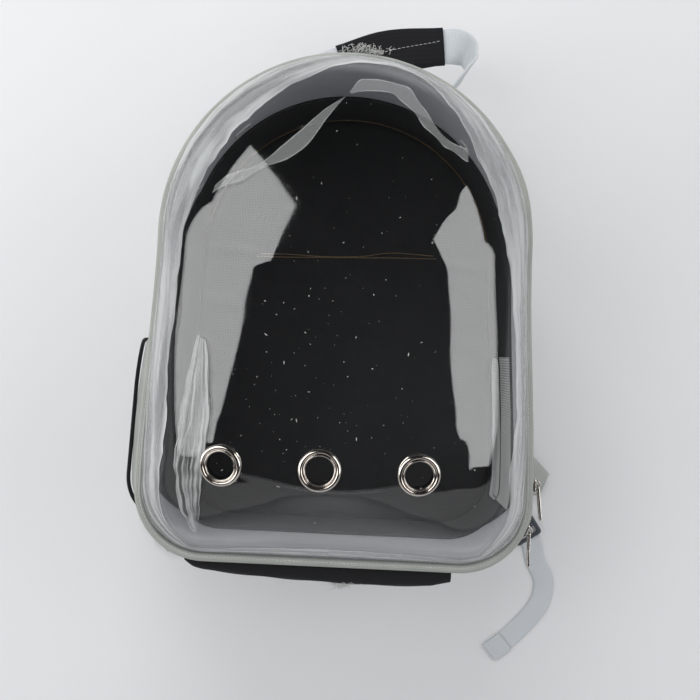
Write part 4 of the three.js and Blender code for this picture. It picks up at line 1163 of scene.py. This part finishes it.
def sheet_over(name, inset, z, material, relief, thickness=0.9, **options):
    """A cloth panel of the outline's shape at level z, with its own relief(x, y)."""
    rings, count = 26, 240
    us = np.arange(count) / count
    edge = rim(us, inset)
    verts, uvs = [], []
    for side in (0, 1):
        for r in range(rings):
            k = 1 - r / rings
            for x, y in edge * k:
                verts.append((x, y, z + (relief(x, y) if side == 0 else -thickness)))
                uvs.append((x, y))
        verts.append((0, 0, z + (relief(0, 0) if side == 0 else -thickness)))
        uvs.append((0, 0))
    size = rings * count + 1
    faces = []
    for side in (0, 1):
        start = side * size
        faces += grid_faces(rings, count, loop_columns=True, start=start)
        faces += [
            (start + size - 1 - count + j, start + size - 1 - count + (j + 1) % count, start + size - 1)
            for j in range(count)
        ]
    faces += [(j, size + j, size + (j + 1) % count, (j + 1) % count) for j in range(count)]
    return outward(make(name, verts, faces, material, uvs=uvs, **options))


def inside_relief(x, y):
    """Low folds of the cloth on the back panel."""
    fold = 0.9 * math.exp(-(((y + 0.13 * x + 5) / 9) ** 2)) + 0.7 * math.exp(
        -(((y - 60 - 4 * math.sin(x / 28)) / 3.0) ** 2)
    )
    wave = 0.25 * math.sin(x / 19 + 1) * math.sin(y / 27)
    near_edge = min(1.0, max(0.0, (150 - abs(x)) / 20))
    return -0.55 + (fold + wave) * near_edge


def make_inside():
    panel = sheet_over("back_lining_cloth", 7.6, 18.9, BLACK_LINING, inside_relief)
    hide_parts("back_lining")
    board = sheet_over("back_panel_cloth", 4.1, 16.9, OUTER, lambda x, y: 0, thickness=4.8)
    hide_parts("back_board")
    us = np.linspace(0.335, 0.66, 400)
    arc = np.column_stack([rim(us, 9.4), np.full(len(us), 21.0)])
    rows = [("back_arch_seam", arc)]
    for name, points in (
        (
            "back_cross_seam_low",
            [(-90, 57.6), (-60, 58.4), (-20, 60.2), (20, 61.4), (45, 62.5), (90, 63.6)]
        ),
        (
            "back_cross_seam_high",
            [(-86, 60.2), (-60, 61.4), (-20, 60.8), (15, 62.6), (45, 67.4), (88, 66.2)]
        ),
    ):
        path = spline(points, np.linspace(0, 1, 160))
        rows.append((name, [(x, y, 18.9 + inside_relief(x, y) + 0.15) for x, y in path]))
    for name, path in rows:
        stitches(name, path, 2.8, 0.4, 0.4, TAN, lift=(0, 0, 0.15))
    # bar tacks of the handle on the front lining, and one more to the left
    tacks = []
    for u0, z0, wide, deep in ((0.5885, 114, 17, 14), (0.4070, 116, 9, 12)):
        corners = [
            (u0 - wide / 2 / ROUND, z0 - deep / 2), (u0 - wide / 2 / ROUND, z0 + deep / 2),
            (u0 + wide / 2 / ROUND, z0 + deep / 2), (u0 + wide / 2 / ROUND, z0 - deep / 2)
        ]
        line = []
        for (ua, za), (ub, zb) in zip(corners, corners[1:]):
            for k in range(8):
                f = k / 8
                plan = rim(ua + (ub - ua) * f, 7.6)
                line.append((plan[0], plan[1], za + (zb - za) * f))
        tacks.append(line)
    plan = [rim(0.638 + 0.006 * f, 7.6) for f in np.linspace(0, 1, 6)]
    tacks.append([(p[0], p[1], 112 + 10 * f) for p, f in zip(plan, np.linspace(0, 1, 6))])
    thread("handle_tacks", tacks, 0.75, WHITE_THREAD)


def inflate(obj, cap, pressure=4.0, voxel=5.0):
    """Cloth under pressure swells the piece; no point moves further than cap millimetres."""
    apply(obj, "REMESH", mode="VOXEL", voxel_size=voxel * MM)
    before = np.empty(len(obj.data.vertices) * 3)
    obj.data.vertices.foreach_get("co", before)
    modifier = obj.modifiers.new("swell", "CLOTH")
    settings = modifier.settings
    settings.use_pressure = True
    settings.uniform_pressure_force = pressure
    settings.effector_weights.gravity = 0
    settings.tension_stiffness = 25
    settings.compression_stiffness = 25
    settings.bending_stiffness = 1.5
    settings.quality = 5
    for step in range(1, 21):
        scene.frame_set(step)
    with bpy.context.temp_override(object=obj, active_object=obj, selected_objects=[obj]):
        bpy.ops.object.modifier_apply(modifier=modifier.name)
    scene.frame_set(1)
    after = np.empty_like(before)
    obj.data.vertices.foreach_get("co", after)
    before, after = before.reshape(-1, 3), after.reshape(-1, 3)
    move = after - before
    size = np.linalg.norm(move, axis=1, keepdims=True)
    limit = cap * MM
    moved = before + move * np.minimum(1, limit / np.maximum(size, 1e-9))
    obj.data.vertices.foreach_set("co", moved.ravel())
    apply(obj, "SUBSURF", levels=1)
    obj.data.polygons.foreach_set("use_smooth", [True] * len(obj.data.polygons))
    return obj


def clamp_z(obj, low, high):
    """Flattens what the swelling pushed past a level, in millimetres, as a table or a board does."""
    co = np.empty(len(obj.data.vertices) * 3)
    obj.data.vertices.foreach_get("co", co)
    co = co.reshape(-1, 3)
    co[:, 2] = np.clip(co[:, 2], low * MM, high * MM)
    obj.data.vertices.foreach_set("co", co.ravel())
    obj.data.update()
    return obj


def pad_from_outline(name, rings, material):
    """A closed pad from rings of plan points with levels: (points, z) from the bottom up."""
    verts = [(x, y, z) for points, z in rings for x, y in points]
    m = len(rings[0][0])
    faces = grid_faces(len(rings), m, loop_columns=True) + caps(len(rings), m)
    return outward(make(name, verts, faces, material))


def scaled(points, centre, inset):
    out = []
    for x, y in points:
        dx, dy = x - centre[0], y - centre[1]
        r = math.hypot(dx, dy)
        k = max(r - inset, 0) / r if r else 1
        out.append((centre[0] + dx * k, centre[1] + dy * k))
    return out


SHOULDER_PATH = [
    (0, 0.5, 0.9), (0.25, 0.66, 1), (0.5, 0.84, 1), (0.75, 0.96, 0.96), (0.94, 1, 0.8), (1, 1, 0.6)
]


def make_pads():
    plan = rounded_rectangle(96, 251, 24, 8, (0, -22.5))
    dense = stepped(plan, 8)
    rings = [
        (scaled(dense, (0, -22.5), inset), z) for inset,
        z in ((7, 0.4), (2.5, 1.4), (0, 4), (0, 8), (2.5, 10.4), (7, 11.3))
    ]
    pad = clamp_z(inflate(pad_from_outline("back_cushion", rings, PAD), 2.2), 0.0, 11.8)
    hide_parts("back_pad")
    for side, name in ((1, "right"), (-1, "left")):
        stations = [
            (side * 116 * out, 168 - 262 * along, 5.85, 0, 52 * width - 4, 9.5) for along, out,
            width in SHOULDER_PATH
        ]
        verts = []
        steps = 48
        for centre, wide, thick, (w, h) in strap_frames(stations, steps):
            for k in range(20):
                a = 2 * math.pi * k / 20
                c, s = math.cos(a), math.sin(a)
                verts.append(
                    centre + wide * (w / 2) * math.copysign(abs(c) ** 0.45, c) + thick * (h / 2)
                    * math.copysign(abs(s) ** 0.6, s)
                )
        faces = grid_faces(steps + 1, 20, loop_columns=True) + caps(steps + 1, 20)
        pad = outward(make(f"shoulder_cushion_{name}", verts, faces, PAD))
        pad = clamp_z(inflate(pad, 2.0), 0.0, 11.8)
        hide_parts(f"shoulder_pad_{name}")


def make_left_pocket():
    """The padded pocket: a crowned front on an upright edge, following the side wall."""
    centre = (-107.0, 105.3)
    rings = [
        (0.4, 0.0), (0, 6), (0, 12), (0, 18), (0.3, 20.8), (1.2, 22), (2.6, 22.6), (10, 22.7), (20, 22.8),
        (44, 22.9)
    ]
    base = rounded_rectangle(157.4, 99.4, 39.7, 14, centre)
    dense = stepped(base, 5)
    verts, n = [], len(dense)
    for inset, out in rings:
        core = (centre[0], centre[1])
        for y, z in dense:
            # pull towards the pocket's long axis rather than its middle
            ay = min(max(y, core[0] - 29), core[0] + 29)
            r = math.hypot(y - ay, z - core[1])
            k = (r - inset) / r if r > inset else 0.02
            yy, zz = ay + (y - ay) * k, core[1] + (z - core[1]) * k
            edge = max(abs(zz - core[1]) / 50 - 0.4, 0) / 0.6
            face = 3.6 - out + (4 * edge if out > 14 else 0)
            dimple = 0.5 * math.sin(yy / 17 + 1) * math.sin(zz / 13) if out > 18 else 0
            verts.append((-wall_x(yy, face) + dimple, yy, zz))
    faces = grid_faces(len(rings), n, loop_columns=True) + caps(len(rings), n)
    pocket = outward(make("side_pocket", verts, faces, GREY))
    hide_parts("left_pocket")
    path = []
    for y, z in rounded_rectangle(158 - 4.6, 100 - 4.6, 37.7, 14, centre):
        edge = max(abs(z - centre[1]) / 50 - 0.4, 0) / 0.6
        path.append((-wall_x(y, 4 * edge - 19 - 2.3), y, z))
    dense = stepped(path, 5)
    verts = []
    for i, c in enumerate(dense):
        along = dense[(i + 1) % len(dense)] - dense[i - 1]
        along /= np.linalg.norm(along)
        out = np.array([-1.0, 0, 0]) + along * along[0]
        out /= np.linalg.norm(out)
        across = np.cross(along, out)
        for k in range(10):
            a = 2 * math.pi * k / 10
            verts.append(c + 1.75 * (out * math.cos(a) + across * math.sin(a)))
    piping = outward(make("side_pocket_piping", verts, grid_faces(len(dense), 10, True, True), BLACK))
    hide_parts("left_pocket_piping")
    ticks = []
    for y in (-163.5, -113.5):
        x = -wall_x(y, -19 - 4.2)
        for k in range(3):
            ticks.append(
                [
                    (x - 0.2, y - 1 + k, 96 + 6 * k), (x - 0.9, y + k * 0.7, 105),
                    (x - 0.2, y + 1, 112 - 5 * k)
                ]
            )
    thread("side_pocket_ties", ticks, 0.3, LINT)


NET_SWELL = [
    (0, 0.04), (0.04, 0.12), (0.09, 0.22), (0.14, 0.32), (0.25, 0.52), (0.45, 0.82), (0.7, 0.98),
    (0.9, 1.0), (1, 0.84)
]
NET_ACROSS = [0, 0.55, 0.9, 1, 0.9, 0.55, 0]


def net_point(along, across, lift):
    swell = float(np.interp(along, *zip(*NET_SWELL)))
    bow = float(spline([[v] for v in NET_ACROSS], across)[0])
    y = -168 + 146 * along
    return np.array([wall_x(y, 4 - (0.6 + 20 * swell * max(bow, 0) + lift)), y, 55.3 + 100 * across])


def make_net():
    rows, columns = 40, 34
    verts, uvs = [], []
    for i in range(rows):
        for j in range(columns):
            a, b = i / (rows - 1), j / (columns - 1)
            slack = 0.6 * math.sin(9 * a + 5 * b) * math.sin(math.pi * b) * math.sin(math.pi * a)
            verts.append(net_point(a, b, 0.6 + slack))
            uvs.append((146 * a, 108 * b))
    sheet = make("side_net_cloth", verts, grid_faces(rows, columns), NET, uvs=uvs)
    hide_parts("side_net")
    verts, uvs = [], []
    steps = 44
    for k in range(steps + 1):
        b = k / steps
        foot = net_point(1.0, b, 0)
        pucker = 0.35 * math.sin(60 * b)
        y = foot[1] + 0.3
        for n, (dx, dy) in enumerate(
            (
                (0.1, 0), (1.2, -0.1), (2.3, 0.6), (2.5 + pucker, 3.5), (2.3, 6.4), (1.2, 7.0),
                (0.1, 6.8), (0.0, 3.5)
            )
        ):
            verts.append((foot[0] + dx, y + dy, foot[2]))
            uvs.append((110 * b, 3 * n))
    faces = grid_faces(steps + 1, 8, loop_columns=True) + caps(steps + 1, 8)
    binding = outward(make("side_net_elastic", verts, faces, BLACK, uvs=uvs))
    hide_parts("side_net_binding")


# Handle and straps
HANDLE_PATH = [
    # reach, rise, turn, drop
    (-1.17, 0.0, 90, 0), (-1.08, 0.004, 90, 0), (-0.98, 0.02, 90, 0), (-0.72, 0.2, 72, 0.06),
    (-0.42, 0.48, 34, 0.16),
    (-0.126, 0.71, 8, 0.2), (0.257, 1.1, 0, 0.22), (0.651, 1.557, 4, 0.22), (0.735, 1.66, 24, 0.2),
    (0.81, 1.66, 54, 0.17),
    (0.868, 1.47, 80, 0.12), (0.874, 1.15, 90, 0.06), (0.86, 0.72, 90, 0.02), (0.85, 0.28, 90, 0),
    (0.95, 0.06, 90, 0),
    (1.05, 0.01, 90, 0), (1.16, 0.004, 90, 0),
]


HANDLE_SPAN, HANDLE_RISE, HANDLE_LEVEL = 172.0, 44.0, 100.0


def handle_stations(width, thickness, first=0, last=len(HANDLE_PATH)):
    wall = ARCH_R - 4 + 0.6 + 1.1
    stations = []
    for reach, rise, turn, drop in HANDLE_PATH[first:last]:
        angle = math.asin(HANDLE_SPAN / 2 / wall * min(abs(reach), 1.3)) * (1 if reach > 0 else -1)
        radius = wall + HANDLE_RISE * rise
        stations.append(
            (
                radius * math.sin(angle), ARCH_Y + radius * math.cos(angle), HANDLE_LEVEL * (1 - drop),
                turn, width, thickness
            )
        )
    return stations


def make_handle():
    band = ribbon("handle_strap", handle_stations(32, 2.1), 180, WEBBING)
    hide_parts("handle_webbing")
    stations = handle_stations(36, 8, 5, 8)
    frames = strap_frames(stations, 40)
    profile = []
    for k in range(36):
        a = 2 * math.pi * k / 36
        c, s = math.cos(a), math.sin(a)
        profile.append((math.copysign(abs(c) ** 0.5, c), math.copysign(abs(s) ** 0.75, s)))
    verts, uvs, length = [], [], 0.0
    loops = []
    for index, (centre, wide, thick, (w, h)) in enumerate(frames):
        if index:
            length += float(np.linalg.norm(centre - frames[index - 1][0]))
        pinch = 1 - 0.03 * math.cos(2 * math.pi * index / 40)
        for a, b in profile:
            crease = 0.25 * math.sin(length / 5 + 6 * a) * abs(b)
            verts.append(centre + wide * a * w / 2 * pinch + thick * (b * h / 2 * pinch + crease))
            uvs.append((length, math.atan2(b, a) * 8))
        loops.append((centre, wide, thick))
    outer_count = len(verts)
    for index in (40, 0):
        centre, wide, thick, _ = frames[index]
        for a, b in profile:
            verts.append(centre + wide * a * 16.6 + thick * b * 1.6)
            uvs.append((length, math.atan2(b, a) * 8))
    faces = grid_faces(41, 36, loop_columns=True)
    for ring, start in ((40 * 36, outer_count), (0, outer_count + 36)):
        faces += [(ring + j, ring + (j + 1) % 36, start + (j + 1) % 36, start + j) for j in range(36)]
    faces += [
        (
            outer_count + j, outer_count + (j + 1) % 36, outer_count + 36 + (j + 1) % 36,
            outer_count + 36 + j
        )
        for j in range(36)
    ]
    wrap = outward(make("handle_sleeve", verts, faces, BLACK, uvs=uvs))
    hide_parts("handle_wrap")
    path = [c - w * (4.0 - 9.0 * (i / 40) ** 2) + t * 4.15 for i, (c, w, t) in enumerate(loops)]
    facing = loops[20][2][2] > 0
    if not facing:
        path = [c + w * (4.0 - 9.0 * (i / 40) ** 2) - t * 4.15 for i, (c, w, t) in enumerate(loops)]
    stitches("handle_stitching", path[6:], 2.6, 1.5, 0.22, WHITE_THREAD, lift=(0, 0, 0.25))
    tangle("handle_lint", (10, 209, 213.5), (19, 3, 2.5), 90, 9, 8)


CORNERS = {
    "right": (
        1, (0.985, 0.66), (1.31, 0.76), (1.2, 0.985), 56,
        [(1.2834, 1.13), (1.345, 1.235), (1.325, 1.34), (1.19, 1.48), (1.02, 1.6)]
    ),
    "left": (
        -1, (0.8, 0.875), (1.09, 1.135), (0.86, 0.75), 95,
        [(0.8, 0.885), (0.68, 0.925), (0.5, 0.92), (0.2, 0.88)]
    ),
}


def make_straps():
    for name, (side, seam, tip, at, heading, tail) in CORNERS.items():
        def corner(pair):
            return np.array([side * pair[0] * RIM_W / 2, -pair[1] * RIM_H / 2])

        a = math.radians(heading)
        toward = np.array([side * math.cos(a), -math.sin(a)])
        middle = corner(at)
        end, start = middle - toward * 12.3, np.array([side * 116, -94.3])
        near = end - toward * 8
        lane = [start, start - [0, 8], start + (near - start) * [0.35, 0.5], near, end]
        run = ribbon(f"strap_run_{name}", [(x, y, 0.9, 0, 20, 1.7) for x, y in lane], 50, WEBBING)
        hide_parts(f"shoulder_webbing_{name}")
        first = middle + toward * 12.3
        lane = [first, first + toward * 4.8] + [corner(p) for p in tail]
        piece = ribbon(f"strap_end_{name}", [(x, y, 0.9, 0, 20, 1.7) for x, y in lane], 110, WEBBING)
        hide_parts(f"strap_tail_{name}")
        # folded hem at the tail's end
        frames = strap_frames([(x, y, 0.9, 0, 20, 1.7) for x, y in lane], 110)[100:]
        hem = [(c[0], c[1], 2.7) for c, *_ in frames]
        fold = ribbon(f"strap_hem_{name}", [(x, y, z, 0, 20.6, 1.9) for x, y, z in hem[::2]], 12, WEBBING)
        for index in (1, 4):
            c, w, t, _ = frames[index * 2]
            line = [c + w * d + np.array([0, 0, 3.0]) for d in np.linspace(-8.5, 8.5, 14)]
            stitches(
                    f"strap_hem_stitch_{name}_{index}", line, 2.0, 0.9, 0.16, WHITE_THREAD,
                    lift=(0, 0, 0.15)
                )
        outer = rounded_rectangle(24, 29, 3.5, 6)
        place = (
            (middle[0], middle[1], 2.5), (toward[0], toward[1], 0), (-toward[1], toward[0], 0), (0, 0, 1)
        )
        frame_ring = plate_ring(
            f"ladder_lock_{name}", outer, rounded_rectangle(17, 21.4, 1.6, 6), 4.8, place, BUCKLE, PACK,
            bevel=0.7
        )
        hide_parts(f"strap_buckle_{name}")
        bar_ends = [middle + np.array([-toward[1], toward[0]]) * d for d in (-11.2, -5, 0, 5, 11.2)]
        bar = ribbon(f"ladder_bar_{name}", [(x, y, 2.5, 0, 3.8, 3.6) for x, y in bar_ends], 12, BUCKLE)
        # anchor tab: a folded triangle with turned edges
        s, t = corner(seam), corner(tip)
        rows = [(0, 1, 1), (0.3, 0.9, 0.92), (0.65, 0.62, 0.8), (1, 0.36, 0.68)]
        stations = [
            (*(s + (t - s) * share), 10.5 * level, 0, 66.7 * width, 2.3) for share, width, level in rows
        ]
        tab = ribbon(f"anchor_gusset_{name}", stations, 40, GREY, crown=0.3)
        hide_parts(f"anchor_tab_{name}")
        frames = strap_frames(stations, 40)
        for sign in (-1, 1):
            line = [c + w * sign * (v[0] / 2 - 3.2) + np.array([0, 0, 1.45]) for c, w, _, v in frames]
            stitches(
                    f"anchor_stitch_{name}_{'ab'[sign > 0]}", line, 2.4, 1.1, 0.16, WHITE_THREAD,
                    lift=(0, 0, 0.15)
                )


# Stage
def make_stage():
    mesh = bpy.data.meshes.new("table")
    mesh.from_pydata([(-4, -4, 0), (4, -4, 0), (4, 4, 0), (-4, 4, 0)], [], [(0, 1, 2, 3)])
    mesh.materials.append(painted_floor())
    table = bpy.data.objects.new("table", mesh)
    table.location.z = -0.0004
    scene.collection.objects.link(table)
    world = bpy.data.worlds.new("Room")
    scene.world = world
    world.use_nodes = True
    nodes, links = world.node_tree.nodes, world.node_tree.links
    room, seen = nodes["Background"], nodes.new("ShaderNodeBackground")
    room.inputs["Color"].default_value = (0.95, 0.97, 1.0, 1)
    room.inputs["Strength"].default_value = ROOM_LIGHT
    seen.inputs["Color"].default_value = (0.62, 0.62, 0.63, 1)
    # what gloss mirrors: the pale table up to the horizon, and a dark room over it
    mirrored = nodes.new("ShaderNodeBackground")
    way, height = nodes.new("ShaderNodeTexCoord"), nodes.new("ShaderNodeSeparateXYZ")
    links.new(way.outputs["Generated"], height.inputs["Vector"])
    backdrop = nodes.new("ShaderNodeMath")
    backdrop.operation = "MULTIPLY_ADD"
    backdrop.inputs[1].default_value = BACKDROP_RISE
    links.new(height.outputs["Y"], backdrop.inputs[0])
    links.new(height.outputs["Z"], backdrop.inputs[2])
    horizon = ramp(
        nodes, links, backdrop.outputs["Value"], [(0.0, (0.6, 0.6, 0.61)), (0.02, (0.03, 0.03, 0.032))]
    )
    links.new(horizon.outputs["Color"], mirrored.inputs["Color"])
    path = nodes.new("ShaderNodeLightPath")
    for ray, first, second in (("Is Glossy Ray", room, mirrored), ("Is Camera Ray", None, seen)):
        mix = nodes.new("ShaderNodeMixShader")
        links.new(path.outputs[ray], mix.inputs["Fac"])
        links.new((first or last).outputs[0], mix.inputs[1])
        links.new(second.outputs["Background"], mix.inputs[2])
        last = mix
    links.new(last.outputs["Shader"], nodes["World Output"].inputs["Surface"])


ROOM_LIGHT = 0.42
# How steeply the pale backdrop before the base rises, for what gloss mirrors
BACKDROP_RISE = 0.85
PANEL_LIGHT, PANEL_GLOSS = 2.3, 4.2
# Two leaning soft panels, shaped as the photo's windows show in the dome; corners in metres
PANELS = {
    "panel_left": [
        (-0.98, 1.09, 1.23), (-0.28, 0.44, 1.85), (-0.41, 0.18, 1.79), (-0.68, 0.09, 1.59),
        (-0.87, -0.17, 1.47),
        (-1.16, -0.8, 1.35), (-1.8, -0.47, 0.78), (-2.3, 0.14, 0.31), (-1.26, 0.55, 1.09),
    ],
    "panel_right": [
        (1.12, 0.8, 1.18), (0.57, 0.33, 1.75), (0.79, 0.11, 1.55), (0.98, -0.04, 1.37),
        (1.19, -0.67, 1.22),
        (1.67, -0.34, 0.72), (1.8, -0.19, 0.58), (1.6, 0.14, 0.76), (1.3, 0.31, 1.04),
    ],
}


def make_lights():
    material, nodes, links, _ = tree("Panel_light")
    glow = nodes.new("ShaderNodeEmission")
    path = nodes.new("ShaderNodeLightPath")
    strength = nodes.new("ShaderNodeMapRange")
    strength.inputs["To Min"].default_value = PANEL_LIGHT
    strength.inputs["To Max"].default_value = PANEL_GLOSS
    links.new(path.outputs["Is Glossy Ray"], strength.inputs["Value"])
    links.new(strength.outputs["Result"], glow.inputs["Strength"])
    links.new(glow.outputs["Emission"], nodes["Material Output"].inputs["Surface"])
    lamp = bpy.data.objects.new("back_light", bpy.data.lights.new("back_light", "AREA"))
    lamp.data.shape = "RECTANGLE"
    lamp.data.size, lamp.data.size_y, lamp.data.energy = 1.2, 0.8, 17
    lamp.location = (-0.35, 1.6, 1.5)
    lamp.rotation_euler = (-lamp.location).to_track_quat("-Z", "Y").to_euler()
    lamp.visible_camera = lamp.visible_glossy = False
    scene.collection.objects.link(lamp)
    for name, corners in PANELS.items():
        obj = make(
            name, np.array(corners) / MM, [tuple(range(len(corners)))], material, body=None, smooth=False
        )
        obj.visible_camera = False


CAMERA_PLACE, CAMERA_ROLL = (0.0081, -0.0357, 1.012), 2.7
PHOTO_WIDTH_PX, FOCAL_LENGTH_PX, PRINCIPAL_RISE_PX, SENSOR_MM = 700, 1000, 5, 36


def make_camera():
    camera = bpy.data.cameras.new("camera")
    camera.sensor_width = SENSOR_MM
    camera.lens = SENSOR_MM * FOCAL_LENGTH_PX / PHOTO_WIDTH_PX
    camera.shift_y = PRINCIPAL_RISE_PX / PHOTO_WIDTH_PX
    camera.clip_start = 0.01
    obj = bpy.data.objects.new("camera", camera)
    obj.location = CAMERA_PLACE
    obj.rotation_euler = (0, 0, math.radians(CAMERA_ROLL))
    scene.collection.objects.link(obj)
    scene.camera = obj


make_camera()
make_stage()
make_lights()
make_walls()
make_window()
make_inside()
make_pads()
make_left_pocket()
make_net()
make_hinge()
make_zipper()
make_sliders()
make_rim()
make_handle()
make_straps()
make_grommets()
make_bubble()
make_film()
make_dust()

scene.view_settings.view_transform = "Standard"
